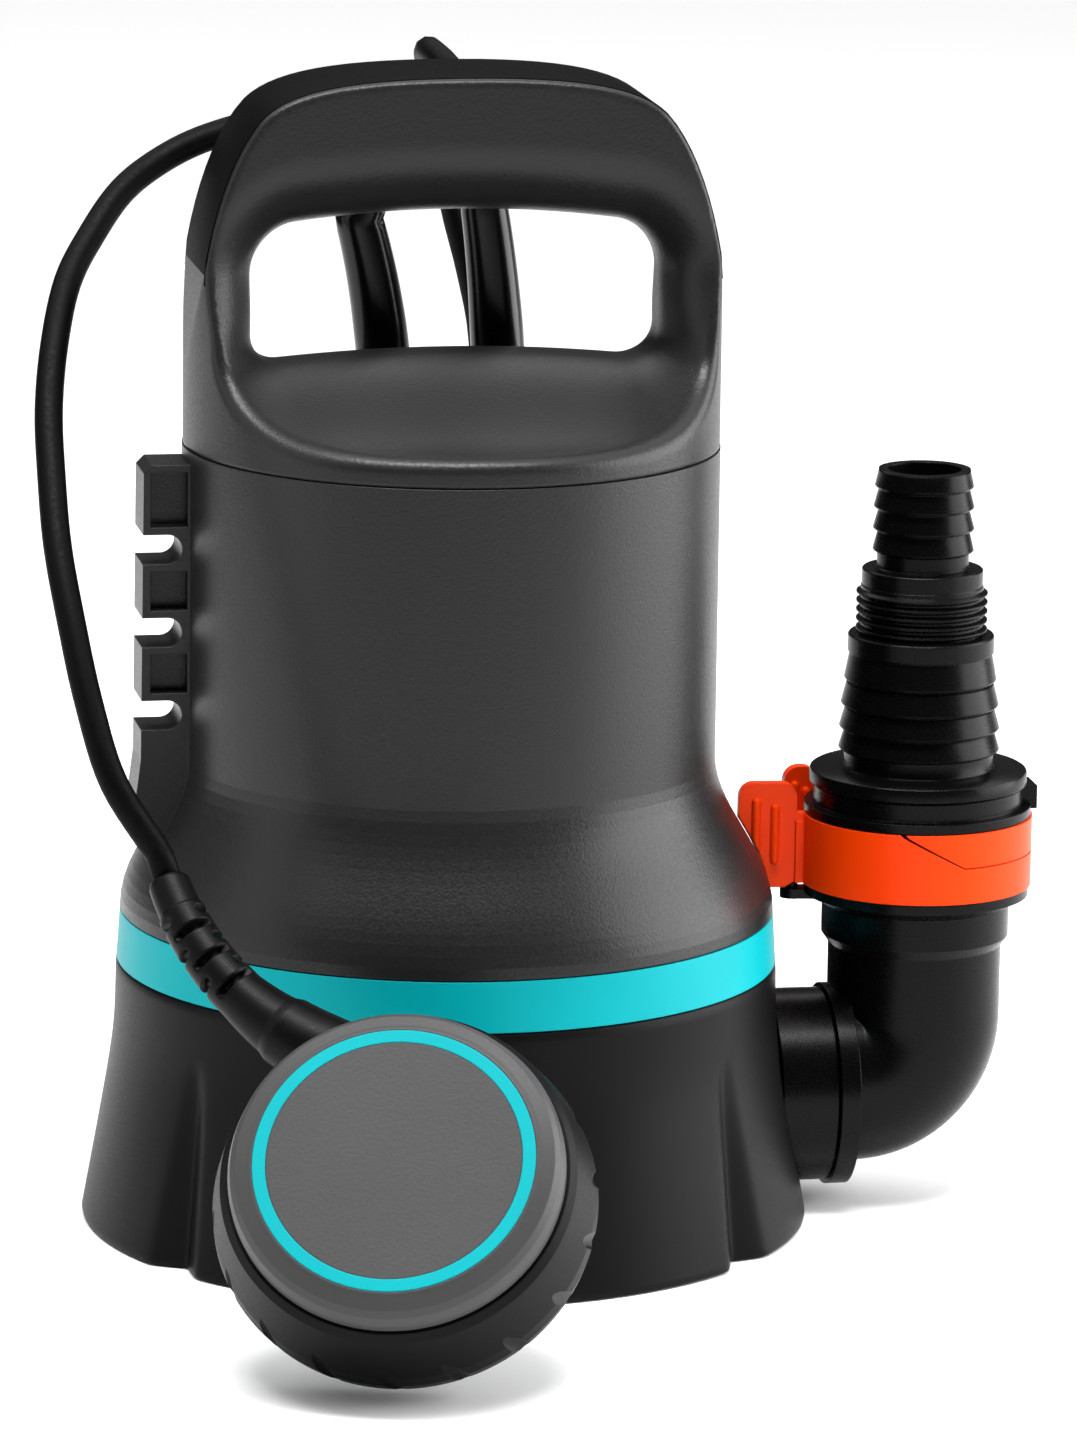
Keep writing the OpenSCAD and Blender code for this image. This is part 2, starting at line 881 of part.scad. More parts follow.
module impeller_nut() {
    color("#c9a54a")
        translate([0, 0, impeller_z - 4.1])
            difference() {
                cylinder(r = 8, h = 4, $fn = 6);
                translate([0, 0, -1])
                    cylinder(r = tip_r + 0.02, h = 6);
            }
}

// ---------------------------------------------------------------- Elbow
ring_z = collar_z + 3.3;
collar_top = ring_z + ring_h + 7.3;
socket_r = spigot_r + fit;
spigot_z = collar_z + 2;
groove_z = ring_z + 1.4;
groove_h = 6.2;
groove_deep = 2.2;
lip_h = groove_h - 2 * gap;
pin_r = 1.6;
ear_t = 2.6;
tab_z = ring_z - 1.3;
pin_turn = -98;
pin_at = [nozzle_x, 0] + (ring_r + 2.4) * ahead(pin_turn);

// A round tube that bends up to the nozzle's axis, a little over the stub's axis
elbow_z = outlet_z + 2.2;
module elbow_path(r, start, high) {
    bend = elbow_bend;
    translate([start, 0, elbow_z])
        rotate([0, 90, 0])
            cylinder(r = r, h = nozzle_x - bend - start);
    translate([nozzle_x, 0, elbow_z + bend])
        cylinder(r = r, h = high - elbow_z - bend);
    translate([nozzle_x - bend, 0, elbow_z + bend])
        rotate([90, 0, 0])
            rotate([0, 0, -90])
                rotate_extrude(angle = 90)
                    intersection() {
                        translate([bend, 0])
                            circle(r = r);
                        translate([0, -r - 1])
                            square([bend + r + 1, 2 * r + 2]);
                    }
    // Inner corner of the bend
    intersection() {
        translate([nozzle_x, 0, elbow_z])
            cylinder(r = r, h = bend + 1);
        translate([nozzle_x - bend - r, -r, elbow_z])
            cube([r, 2 * r, bend + 1]);
    }
}

module elbow() {
    start = stub_end + 0.6;
    color("#1f2022")
        difference() {
            union() {
                elbow_path(elbow_r, start, collar_z - 8);
                // Flange against the stub
                translate([start, 0, outlet_z])
                    rotate([0, 90, 0])
                        cylinder(r = stub_r + 1.1, h = 5);
                translate([nozzle_x, 0, 0])
                    rotate_extrude()
                        polygon([[0, collar_z - 12.6], [elbow_r, collar_z - 12.6],
                                 [elbow_r + 1.8, collar_z - 10], [elbow_r + 1.8, collar_z - 2],
                                 [ring_r - 2.4, collar_z], [ring_r - 0.6, collar_z + 0.6],
                                 [ring_r - 0.6, ring_z - 0.2], [seat_r, ring_z - 0.2],
                                 [seat_r, ring_z + ring_h + 0.2],
                                 [ring_r - 0.4, ring_z + ring_h + 0.2],
                                 [ring_r - 0.4, ring_z + ring_h + 2.6],
                                 [seat_r - 0.3, ring_z + ring_h + 2.8],
                                 [seat_r - 0.3, collar_top], [0, collar_top]]);
                // Raised block on the right of the collar
                translate([nozzle_x + seat_r - 3, -5, ring_z + ring_h + 1])
                    cube([6.2, 10, 6]);
                // Ear and pin that carry the lock lever
                translate([pin_at[0], pin_at[1], tab_z - ear_t - 2 * gap]) {
                    cylinder(r = 3, h = ear_t, $fn = 48);
                    cylinder(r = pin_r, h = ring_z + ring_h - 1 - tab_z + ear_t, $fn = 48);
                    rotate([0, 0, pin_turn + 90])
                        translate([0, -2.8, 0])
                            cube([9, 5.6, ear_t]);
                }
            }
            elbow_path(bore_r + 1, nozzle_x - elbow_bend - 8, collar_z - 4);
            // Socket for the outlet stub
            translate([start - 1, 0, outlet_z])
                rotate([0, 90, 0])
                    cylinder(r = stub_spigot_r + fit, h = stub_spigot_l + 1);
            translate([start, 0, outlet_z])
                rotate([0, 90, 0])
                    cylinder(r = bore_r + 1, h = 24);
            translate([nozzle_x, 0, spigot_z - 0.3])
                cylinder(r = socket_r, h = 60);
            // Window for the lever's lip
            intersection() {
                translate([nozzle_x, 0, groove_z])
                    cylinder(r = seat_r + 4, h = groove_h);
                translate([nozzle_x - 13, -40, groove_z - 1])
                    cube([26, 40, groove_h + 2]);
            }
        }
}

module stub_seal() {
    color("#111111")
        translate([stub_end + 4.9, 0, outlet_z])
            rotate([0, 90, 0])
                rotate_extrude()
                    translate([stub_spigot_r - 0.75, 0])
                        circle(r = 0.75, $fn = 24);
}

// ---------------------------------------------------------------- Lock ring
lever_right = 80;
seam_tip = -14;
seam_low = 13;
seam_z_up = ring_z + ring_h / 2;

// A piece of the ring's wall between two angles counted from the front
module ring_piece(from, to, z, h, r_in, r_out) {
    translate([nozzle_x, 0, z])
        rotate([0, 0, from - 90])
            rotate_extrude(angle = to - from)
                translate([r_in, 0])
                    square([r_out - r_in, h]);
}

// The seam between the ring's halves from its upper left end, raised and moved by a margin
function seam(over) =
    let (tip = ring_r * sin(seam_tip) + 4 * over, top = ring_z + ring_h)
    [[tip - 4, top + 1], [tip - 2.4, top - 0.8], [ring_r * sin(seam_low) - 0.4, seam_z_up + over],
     [ring_r + 1, seam_z_up + over]];

// The front of the ring between the seam and a level, from a depth forwards
module seam_side(over, level, left, y) {
    translate([nozzle_x, y, 0])
        rotate([90, 0, 0])
            linear_extrude(height = ring_r + 4)
                polygon(concat(seam(over), [[ring_r + 1, level], [left, level],
                                            [left, ring_z + ring_h + 1]]));
}

tab_corner = 4;
module tab_outline(l) {
    c = tab_corner;
    translate([c, 0])
        square([l - 2 * c, tab_h]);
    translate([0, c])
        square([l, tab_h - 2 * c]);
    for (x = [c, l - c], z = [c, tab_h - c])
        translate([x, z])
            circle(r = c, $fn = 40);
}

// A thumb tab that runs out along +X from its root, with two finger ribs in front
module thumb_tab(l) {
    translate([0, tab_t / 2, 0])
        rotate([90, 0, 0])
            linear_extrude(height = tab_t)
                tab_outline(l);
    for (i = [0, 1])
        translate([l * (0.38 + 0.32 * i), tab_t / 2, tab_h * (0.26 + 0.06 * i)]) {
            cylinder(r = 1.1, h = tab_h * 0.5, $fn = 32);
            sphere(r = 1.1, $fn = 32);
            translate([0, 0, tab_h * 0.5])
                sphere(r = 1.1, $fn = 32);
        }
}

// Fixed part: the back of the ring, the tongue over the front and the rear tab
rear_tab_y = 22;
arm_z = tab_z + tab_h * 0.44;
module lock_ring() {
    root = sqrt(ring_r * ring_r - pow(rear_tab_y - tab_t / 2, 2)) + gap;
    color("#ff6a00") {
        difference() {
            ring_piece(seam_tip - 4, 360 - 110, ring_z, ring_h, seat_r + gap / 3, ring_r);
            seam_side(gap, ring_z - 1, -ring_r - 1, 2 * gap - ring_r * cos(lever_right));
        }
        translate([nozzle_x - root, rear_tab_y, tab_z])
            rotate([0, 0, 180])
                thumb_tab(tab_l - 6);
        translate([nozzle_x - root - 1, rear_tab_y - tab_t / 2, arm_z])
            cube([4.5, tab_t, ring_z + ring_h - arm_z]);
    }
}

// Moving part: the front of the ring, its thumb tab, its lip and its pivot eye
tab_turn = -95;
tab_clear = 0.9;
module lock_lever() {
    color("#ff6a00")
        difference() {
            union() {
                difference() {
                    ring_piece(-91, lever_right, ring_z, ring_h, seat_r + gap, ring_r);
                    seam_side(0, ring_z + ring_h + 1, ring_r * sin(seam_tip) - 4, 1);
                }
                ring_piece(-22, 22, groove_z + gap, lip_h, spigot_r - groove_deep + 0.6,
                           seat_r + 1);
                translate([nozzle_x, 0, 0])
                    rotate([0, 0, tab_turn - 90]) {
                        translate([ring_r + 1.6, 0, tab_z])
                            thumb_tab(tab_l);
                        translate([ring_r - 1, -tab_t / 2, arm_z])
                            cube([6, tab_t, ring_z + ring_h - arm_z]);
                    }
                translate([pin_at[0], pin_at[1], ring_z])
                    cylinder(r = 3.2, h = ring_h - 2, $fn = 48);
                translate([pin_at[0], pin_at[1] - 4.4, ring_z])
                    cube([4, 4.4, ring_h - 2]);
            }
            translate([pin_at[0], pin_at[1], ring_z - 2])
                cylinder(r = pin_r + fit, h = ring_h + 1, $fn = 48);
            housing_form(-tab_clear, band_top - 4);
        }
}

// ---------------------------------------------------------------- Hose nozzle
flange_z = collar_top + 0.3;
flange_t = 4.2;
root_z = flange_z + flange_t;
thread_r = thread_d / 2;

// Outline of one barb that is wide below and narrow above
function barbs(n, z, pitch, r_wide, r_narrow, slope) =
    [for (i = [0 : n - 1], k = [0, 1])
        [(k == 0 ? r_wide : r_narrow) - slope * i, z + i * pitch + k * (pitch - 0.6)]];

module hose_nozzle() {
    low = root_z + 4.5;
    color("#1f2022")
        translate([nozzle_x, 0, 0])
            difference() {
                rotate_extrude()
                    polygon(concat(
                        [[0, spigot_z], [spigot_r - 1, spigot_z], [spigot_r, spigot_z + 1],
                         [spigot_r, groove_z - gap / 2],
                         [spigot_r - groove_deep, groove_z - gap / 2],
                         [spigot_r - groove_deep, groove_z + groove_h + gap / 2],
                         [spigot_r, groove_z + groove_h + gap / 2],
                         [spigot_r, flange_z - 8], [spigot_r - 2, flange_z - 8],
                         [spigot_r - 2, flange_z - 5], [spigot_r, flange_z - 5],
                         [spigot_r, flange_z], [flange_r - 0.3, flange_z],
                         [flange_r, flange_z + 0.3], [flange_r, root_z - 0.4],
                         [flange_r - 0.4, root_z], [tail_large_r - 2.4, root_z],
                         [tail_large_r - 2.4, low]],
                        barbs(4, low, 5.6, tail_large_r, tail_large_r - 1.5, 0.65),
                        [[thread_r + 0.9, low + 23.4], [thread_r + 0.9, low + 26.4],
                         [thread_r - 1.4, low + 26.9]],
                        [for (i = [0 : 4], k = [0 : 3])
                            [k == 1 || k == 2 ? thread_r : thread_r - 1.2,
                             low + 27.6 + i * 2.3 + [0, 0.7, 1.3, 2][k]]],
                        [[thread_r - 1.5, low + 39.6], [thread_r - 1.5, low + 43.4],
                         [tail_small_r - 1.6, low + 43.8]],
                        barbs(4, low + 45.4, 4.4, tail_small_r, tail_small_r - 1.1, 0.35),
                        [[tail_small_r - 1.7, low + 63.4], [tail_small_r - 1.6, low + 71.4],
                         [tail_small_r - 2, low + 72], [0, low + 72]]
                    ));
                // The bore steps down towards the small tail
                translate([0, 0, spigot_z - 1])
                    cylinder(r = bore_r, h = low + 24 - spigot_z);
                translate([0, 0, low + 20])
                    cylinder(r = 9.3, h = 60);
                translate([0, 0, low + 22.9])
                    cylinder(r1 = bore_r, r2 = 9.3, h = 8);
            }
}

module nozzle_seal() {
    color("#111111")
        translate([nozzle_x, 0, flange_z - 6.5])
            rotate_extrude()
                translate([spigot_r - 1, 0])
                    circle(r = 1, $fn = 24);
}

// ---------------------------------------------------------------- Cable boots
module boot_form() {
    rotate_extrude()
        polygon([[0, 0], [boot_r, 0], [boot_r, 14], [boot_r - 0.2, 16], [5.4, 36],
                 [4.9, boot_l], [0, boot_l]]);
}

module mains_boot() {
    color("#141516")
        boot_place(mains_boot_at, mains_boot_turn)
            boot_form();
}

module float_boot() {
    color("#141516")
        boot_place(float_boot_at, float_boot_turn)
            boot_form();
}

// ---------------------------------------------------------------- Float
// Middle of the float's face, and the way it faces (turned from the front towards -X)
float_at = [-38.7, -160.8, 57];
float_turn = 17;
// Direction inside the float from its middle to the sleeve, counted from straight up
race_turn = 32.6;
mid_z = -21;
ball_r = 7.2;
ball_rest = -12;
shell_t = 2.2;
cover_r = 36;
cover_h = 8;
neck_r = cover_r + 1.3;
float_line = [[33, -float_t], [37, 1.4 - float_t], [float_r - 4, 5 - float_t],
              [float_r - 0.8, -30.6], [float_r, -27], [float_r - 0.3, -23.5],
              [float_r - 3.6, -10.2], [float_r - 5.2, -cover_h - gap],
              [neck_r, -cover_h - gap], [neck_r, -1.8]];

module float_place() {
    translate(float_at)
        rotate([0, 0, -float_turn])
            rotate([90 - float_tilt, 0, 0])
                children();
}

module float_form(inset) {
    rotate_extrude()
        polygon(concat([[0, inset - float_t]],
                       [for (q = float_line)
                           [q[0] - inset, max(q[1], inset - float_t)
                            - (q[1] == -cover_h - gap ? max(inset, 0) : 0)]],
                       [[neck_r - inset, inset > 0 ? 0.1 : -1.8],
                        [0, inset > 0 ? 0.1 : -1.8]]));
}

module in_race() {
    rotate([0, 0, race_turn])
        children();
}

switch_y = 12.6;
pivot = [11.6, -28.4];
module float_shell() {
    color("#1b1c1e")
        float_place()
            difference() {
                union() {
                    difference() {
                        float_form(0);
                        difference() {
                            float_form(shell_t);
                            in_race() {
                                // Race that guides the ball, and the post under the switch
                                difference() {
                                    translate([-8.8, -21, -float_t])
                                        cube([17.6, 28, float_t - 14]);
                                    translate([0, -19.4, mid_z])
                                        rotate([-90, 0, 0])
                                            cylinder(r = ball_r + 2 * fit, h = ball_travel + 24);
                                }
                                translate([-5, switch_y + 3.2, -float_t])
                                    cube([10, 11, float_t - 26.1]);
                            }
                        }
                        // Seat of the cover
                        translate([0, 0, -3])
                            cylinder(r = cover_r + 0.05, h = 10);
                        translate([0, 0, -5])
                            cylinder(r = cover_r - 1.8, h = 10);
                    }
                }
                // Slanted finger notches round the rim
                for (i = [0 : 17])
                    rotate([0, 0, 10 + i * 20])
                        translate([float_r + 1.2, 0, -24])
                            rotate([24, 0, 0])
                                translate([0, 0, -13])
                                    cylinder(r = 2.4, h = 26, $fn = 24);
            }
}

module float_cover() {
    out = float_r - 5.9;
    color("#5b5d60")
        float_place()
            rotate_extrude()
                difference() {
                    polygon([[0, -2.9], [cover_r, -2.9], [cover_r, -1.7], [neck_r + fit, -1.7],
                             [neck_r + fit, -cover_h], [out, -cover_h], [out - 0.1, -5.6],
                             [out - 0.9, -3], [out - 2.2, -1.4], [float_ring_r + 1.6, -0.5],
                             [float_ring_r + 0.5, 0], [0, 0]]);
                    translate([float_ring_r - float_ring_w - 0.02, -1.2])
                        square([float_ring_w + 0.04, 3]);
                }
}

module float_ring() {
    color("#00b4c0")
        float_place()
            ring(float_ring_r, float_ring_r - float_ring_w, 1.3, -1.2);
}

module float_seal() {
    color("#111111")
        float_place()
            ring(cover_r - 1.9, cover_r - 3.6, 1.8, -4.75);
}

module float_microswitch() {
    color("#8a1f1f")
        float_place()
            in_race()
                difference() {
                    union() {
                        translate([-5.5, switch_y, -26])
                            cube([11, 17, 10]);
                        for (x = [-5.5, 4.3])
                            translate([x, pivot[0] - 1.2, pivot[1] - 1.2])
                                cube([1.2, 5, 6]);
                        translate([-5, pivot[0], pivot[1]])
                            rotate([0, 90, 0])
                                cylinder(r = 0.5, h = 10, $fn = 32);
                    }
                    for (y = [0, 10])
                        translate([-10, switch_y + 3.5 + y, -22])
                            rotate([0, 90, 0])
                                cylinder(r = 1.2, h = 20, $fn = 32);
                }
}

// The switch's lever leans into the ball's path
lever_lean = 15;
module switch_lever() {
    color("#c9cbcd")
        float_place()
            in_race()
                translate([0, pivot[0], pivot[1]])
                    rotate([lever_lean, 0, 0])
                        difference() {
                            union() {
                                translate([-4, 0, 0])
                                    rotate([0, 90, 0])
                                        cylinder(r = 1, h = 8, $fn = 32);
                                translate([-3.5, -0.25, 0])
                                    cube([7, 0.5, 12]);
                            }
                            translate([-5, 0, 0])
                                rotate([0, 90, 0])
                                    cylinder(r = 0.5 + fit, h = 10, $fn = 32);
                        }
}

module float_ball() {
    color("#c4c6c8")
        float_place()
            in_race()
                translate([0, ball_rest, mid_z])
                    sphere(r = ball_r);
}

// ---------------------------------------------------------------- Cords
// Unit vector
function unit(v) = v / norm(v);

// Points of a smooth line through the given points, straight in its first and last stretch
function between(a, b, c, d, t) =
    0.5 * (2 * b + (c - a) * t + (2 * a - 5 * b + 4 * c - d) * t * t
           + (3 * b - a - 3 * c + d) * t * t * t);
function smooth(p, steps) =
    let (n = len(p) - 1)
    concat([p[0]],
           [for (i = [1 : n - 2], k = [0 : steps - 1])
               between(p[i - 1], p[i], p[i + 1], p[i + 2], k / steps)],
           [p[n - 1], p[n]]);

function length_of(p) =
    len(p) < 2 ? 0 : [for (i = 0, s = 0; i < len(p); i = i + 1,
                           s = i < len(p) ? s + norm(p[i] - p[i - 1]) : s) s][len(p) - 1];

function headings(p) =
    [for (i = [0 : len(p) - 1])
        unit(p[min(i + 1, len(p) - 1)] - p[max(i - 1, 0)])];

// Side directions carried along the line without twist
function sides_along(t, first) =
    [for (i = 0, s = unit(first - (first * t[0]) * t[0]); i < len(t); i = i + 1,
          s = i < len(t) ? unit(s - (s * t[i]) * t[i]) : s) s];

// One closed tube along a line, with a radius at each of its points
module tube(p, radii, sides, first) {
    t = headings(p);
    s = sides_along(t, first);
    n = len(p);
    last = (n - 1) * sides;
    pts = [for (i = [0 : n - 1], j = [0 : sides - 1])
        p[i] + radii[i] * (cos(360 * j / sides) * s[i] + sin(360 * j / sides) * cross(t[i], s[i]))];
    walls = [for (i = [0 : n - 2], j = [0 : sides - 1], k = [0, 1])
        let (a = i * sides + j, b = i * sides + (j + 1) % sides)
        k == 0 ? [a, a + sides, b + sides] : [a, b + sides, b]];
    ends = [for (j = [1 : sides - 2], k = [0, 1])
        k == 0 ? [0, j, j + 1] : [last, last + j + 1, last + j]];
    polyhedron(points = pts, faces = concat(walls, ends), convexity = 10);
}

// The sleeve bends from its root on the float up to the cord
sleeve_root = [-23.4, 36.6];
sleeve_from = 64.6;
sleeve_to = 22.7;
sleeve_bend = sleeve_l / ((sleeve_from - sleeve_to) * PI / 180);
sleeve_mid = sleeve_root + sleeve_bend * [cos(sleeve_from), sin(sleeve_from)];
function sleeve_point(s) =
    let (h = sleeve_from - (sleeve_from - sleeve_to) * s / sleeve_l)
    [sleeve_mid[0] - sleeve_bend * cos(h), sleeve_mid[1] - sleeve_bend * sin(h), mid_z];

sleeve_collar = 10;
flare_l = 24;
rib_n = 6;
rib_pitch = (sleeve_l - sleeve_collar - flare_l) / rib_n;
sleeve_s = concat([-9, -4, 0, 5, 10, 16], [flare_l],
                  [for (i = [0 : rib_n - 1], k = [0 : 3])
                      flare_l + i * rib_pitch + [0.1, 1.7, 1.8, rib_pitch][k]],
                  [sleeve_l - sleeve_collar + 0.1, sleeve_l - 1, sleeve_l]);
sleeve_radii = concat([9.4, 9.4, 9.1, 8.1, 7.2, 6.5], [6],
                      [for (i = [0 : rib_n - 1], k = [0 : 3]) k < 2 ? 4.4 : 5.8],
                      [5.2, 5.1, 4.6]);

module float_sleeve() {
    color("#17181a")
        float_place()
            difference() {
                tube([for (s = sleeve_s) sleeve_point(s)], sleeve_radii, 16, [0, 0, 1]);
                float_form(-0.05);
            }
}

// Where the boots let their cords out
function turned(v, a) = [v[0] * cos(a) + v[2] * sin(a), v[1], v[2] * cos(a) - v[0] * sin(a)];
function boot_way(turn) = turned([0, 0, 1], turn[1]);
function boot_end(at, turn) = at + boot_l * boot_way(turn);

// The sleeve's upper end in the pump's frame, and the way the cord leaves it
function placed(v) =
    let (y = v[1] * cos(90 - float_tilt) - v[2] * sin(90 - float_tilt),
         z = v[1] * sin(90 - float_tilt) + v[2] * cos(90 - float_tilt))
    [v[0] * cos(float_turn) + y * sin(float_turn),
     y * cos(float_turn) - v[0] * sin(float_turn), z];
float_cord_way = placed([-sin(sleeve_to), cos(sleeve_to), 0]);
float_cord_low = float_at + placed(sleeve_point(sleeve_l)) + fit * float_cord_way;

float_cord_route = concat(
    [boot_end(float_boot_at, float_boot_turn),
     boot_end(float_boot_at, float_boot_turn) + float_cord_d * boot_way(float_boot_turn)],
    [[-22, 48, 262], [-29, 49, 268], [-40, 48, 271], [-55, 45, 268], [-67, 42, 263],
     [-78, 36, 256], [-87, 27, 246], [-94, 17, 236], [-99, 2, 223], [-102, -12, 209],
     [-103, -25, 195], [-103, -38, 180], [-101, -50, 164], [-98, -61, 146], [-93, -70, 128]],
    [float_cord_low + float_cord_d * float_cord_way, float_cord_low]);

module float_cord() {
    line = smooth(float_cord_route, 2);
    echo(float_cord_length = length_of(line));
    color("#17181a")
        tube(line, [for (q = line) float_cord_d / 2], 10, [0, 1, 0]);
}

// The coil of mains cord that is put away on the floor behind the pump
coil_at = [31.5, 191];
coil_from = -69.5;
coil_layers = 4;
tie_t = 1.2;
coil_pitch = mains_d + turn_gap;
layer_turns = coil_turns / coil_layers;
coil_span = layer_turns * coil_pitch;
coil_low = tie_t + gap + mains_d / 2;
coil_high = coil_low + (coil_layers - 1) * coil_pitch;
function ramp(t) = t <= 0 ? 0 : t >= 1 ? 1 : t * t * (3 - 2 * t);
function coil_radius(a) =
    let (q = a / 360 / layer_turns, k = floor(q), f = q - k)
    coil_r + coil_span * (k % 2 == 0 ? 0.5 - f : f - 0.5);
function coil_height(a) =
    coil_high - coil_pitch * (ramp((a - 360 * layer_turns + 90) / 180)
                              + ramp((a - 720 * layer_turns + 90) / 180)
                              + ramp((a - 1080 * layer_turns + 90) / 180));
function coil_point(a) =
    [coil_at[0] + coil_radius(a) * cos(coil_from + a),
     coil_at[1] + coil_radius(a) * sin(coil_from + a), coil_height(a)];
function coil_way(a) = [-sin(coil_from + a), cos(coil_from + a), 0];
coil_start = coil_point(0) - mains_d * coil_way(0);
coil_last = 360 * coil_turns - 0.001;
coil_finish = coil_point(coil_last) + mains_d * coil_way(coil_last);

module mains_coil() {
    line = concat([coil_start], [for (a = [0 : 15 : coil_last]) coil_point(a)],
                  [coil_point(coil_last), coil_finish]);
    near = min([for (i = [0 : len(line) - 14], j = [i + 13 : len(line) - 1])
        norm(line[i] - line[j])]);
    echo(coil_length = length_of(line), coil_self_gap = near - mains_d);
    color("#17181a")
        tube(line, [for (q = line) mains_d / 2], 6, [0, 0, 1]);
}

mains_route = concat(
    [boot_end(mains_boot_at, mains_boot_turn),
     boot_end(mains_boot_at, mains_boot_turn) + mains_d * boot_way(mains_boot_turn)],
    [[12, 47, 270], [9, 58, 281.5], [6, 74, 285.5], [8, 91, 281.5], [12, 104, 271],
     [16, 110, 256], [18.5, 112, 240], [23, 111, 222], [26, 109, 204], [26, 105, 175],
     [24, 101, 130], [22, 98, 85], [21, 98, 57], [23, 99.3, 41.5], [32, 103, 31.3]],
    [coil_start - mains_d * coil_way(0), coil_start]);

module mains_cord() {
    line = smooth(mains_route, 2);
    echo(mains_cord_length = length_of(line));
    color("#17181a")
        tube(line, [for (q = line) mains_d / 2], 10, [1, 0, 0]);
}

plug_r = 19;
lead_l = 48;
plug_z = plug_r + 0.5;
lead_route = [for (q = [[0, 0], [1, 0], [2, 0.08], [3.4, 0.5], [4.8, 0.92], [5.8, 1], [6.8, 1]])
    [coil_finish[0], coil_finish[1], 0] + q[0] * lead_l / 6.8 * coil_way(coil_last)
    + [0, 0, coil_low + q[1] * (plug_z - coil_low)]];

module mains_cord_end() {
    line = smooth(lead_route, 2);
    echo(mains_cord_end_length = length_of(line));
    color("#17181a")
        tube(line, [for (q = line) mains_d / 2], 10, [0, 0, 1]);
}

// A flat strap round the coil's bundle
tie_turn = 200;
module coil_tie() {
    low = coil_low - mains_d / 2 - gap;
    high = coil_high + mains_d / 2 + gap;
    near = coil_r - coil_span / 2 - mains_d / 2 - gap;
    far = coil_r + coil_span / 2 + mains_d / 2 + gap;
    color("#202224")
        translate([coil_at[0], coil_at[1], 0])
            rotate([0, 0, tie_turn])
                translate([0, 6, 0])
                    rotate([90, 0, 0])
                        linear_extrude(height = 12)
                            difference() {
                                translate([near - tie_t, low - tie_t])
                                    square([far - near + 2 * tie_t, high - low + 2 * tie_t]);
                                translate([near, low])
                                    square([far - near, high - low]);
                            }
}

module plug_place() {
    translate([coil_finish[0], coil_finish[1], plug_z] + lead_l * coil_way(coil_last))
        rotate([0, 0, coil_from + coil_last + 90])
            rotate([0, 90, 0])
                children();
}

pin_gap = 19;
plug_l = 62;
module mains_plug() {
    color("#141516")
        plug_place()
            difference() {
                rotate_extrude()
                    polygon(concat([[0, 0], [4.6, 0], [6.8, 24], [9, 28]],
                                   curve([[9, 28], [14.5, 32], [15.5, 38], [15.5, 46]], 6),
                                   [[plug_r, 49], [plug_r, plug_l - 1], [plug_r - 1, plug_l],
                                    [0, plug_l]]));
                // Side grooves for the earth contacts
                for (side = [-1, 1])
                    translate([side > 0 ? plug_r - 2.2 : -plug_r - 1, -3, 46])
                        cube([3.2, 6, 20]);
                for (side = [-1, 1])
                    translate([0, side * pin_gap / 2, plug_l - 10])
                        cylinder(r = 2.42, h = 12, $fn = 40);
            }
}

module plug_pins() {
    color("#c4c6c8")
        plug_place() {
            for (side = [-1, 1])
                translate([0, side * pin_gap / 2, plug_l - 9.9]) {
                    cylinder(r = 2.4, h = 26, $fn = 40);
                    translate([0, 0, 26])
                        cylinder(r1 = 2.4, r2 = 1.2, h = 2.6, $fn = 40);
                }
            for (side = [-1, 1])
                translate([side > 0 ? plug_r - 2.15 : -plug_r + 0.65, -2.4, 47])
                    cube([1.5, 4.8, plug_l - 48]);
        }
}

// ---------------------------------------------------------------- Show
suction_foot();
strainer_plate();
trim_band();
motor_housing();
handle_cap();
grip_strap();
cap_gasket();
cap_screws();
foot_screws();
volute();
volute_cover();
volute_screws();
seal_carrier();
shaft_seals();
motor_can();
stator_core();
stator_windings();
run_capacitor();
bearing_outer_races();
bearing_balls();
bearing_inner_races();
motor_shaft();
rotor_core();
impeller();
impeller_nut();
elbow();
stub_seal();
lock_ring();
lock_lever();
hose_nozzle();
nozzle_seal();
mains_boot();
float_boot();
float_shell();
float_cover();
float_ring();
float_seal();
float_sleeve();
float_microswitch();
switch_lever();
float_ball();
float_cord();
mains_cord();
mains_coil();
coil_tie();
mains_cord_end();
mains_plug();
plug_pins();
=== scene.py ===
from math import cos, floor, pi, radians, sin

import bmesh
import bpy
import numpy as np
from mathutils import Matrix, Vector


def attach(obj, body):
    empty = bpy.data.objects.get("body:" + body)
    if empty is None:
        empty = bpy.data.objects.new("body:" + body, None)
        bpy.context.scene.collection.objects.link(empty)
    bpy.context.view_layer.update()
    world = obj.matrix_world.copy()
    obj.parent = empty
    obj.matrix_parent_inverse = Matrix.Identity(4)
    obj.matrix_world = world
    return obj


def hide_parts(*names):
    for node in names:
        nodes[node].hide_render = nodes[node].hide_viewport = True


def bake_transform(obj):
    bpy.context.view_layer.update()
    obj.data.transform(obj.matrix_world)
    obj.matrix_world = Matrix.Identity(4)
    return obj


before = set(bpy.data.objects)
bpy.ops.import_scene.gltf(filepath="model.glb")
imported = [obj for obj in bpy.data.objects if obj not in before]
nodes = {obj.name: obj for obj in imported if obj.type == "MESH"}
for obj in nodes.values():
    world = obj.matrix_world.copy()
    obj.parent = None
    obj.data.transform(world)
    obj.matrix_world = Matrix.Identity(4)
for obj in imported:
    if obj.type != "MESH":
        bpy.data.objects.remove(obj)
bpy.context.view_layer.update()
MM = 0.001


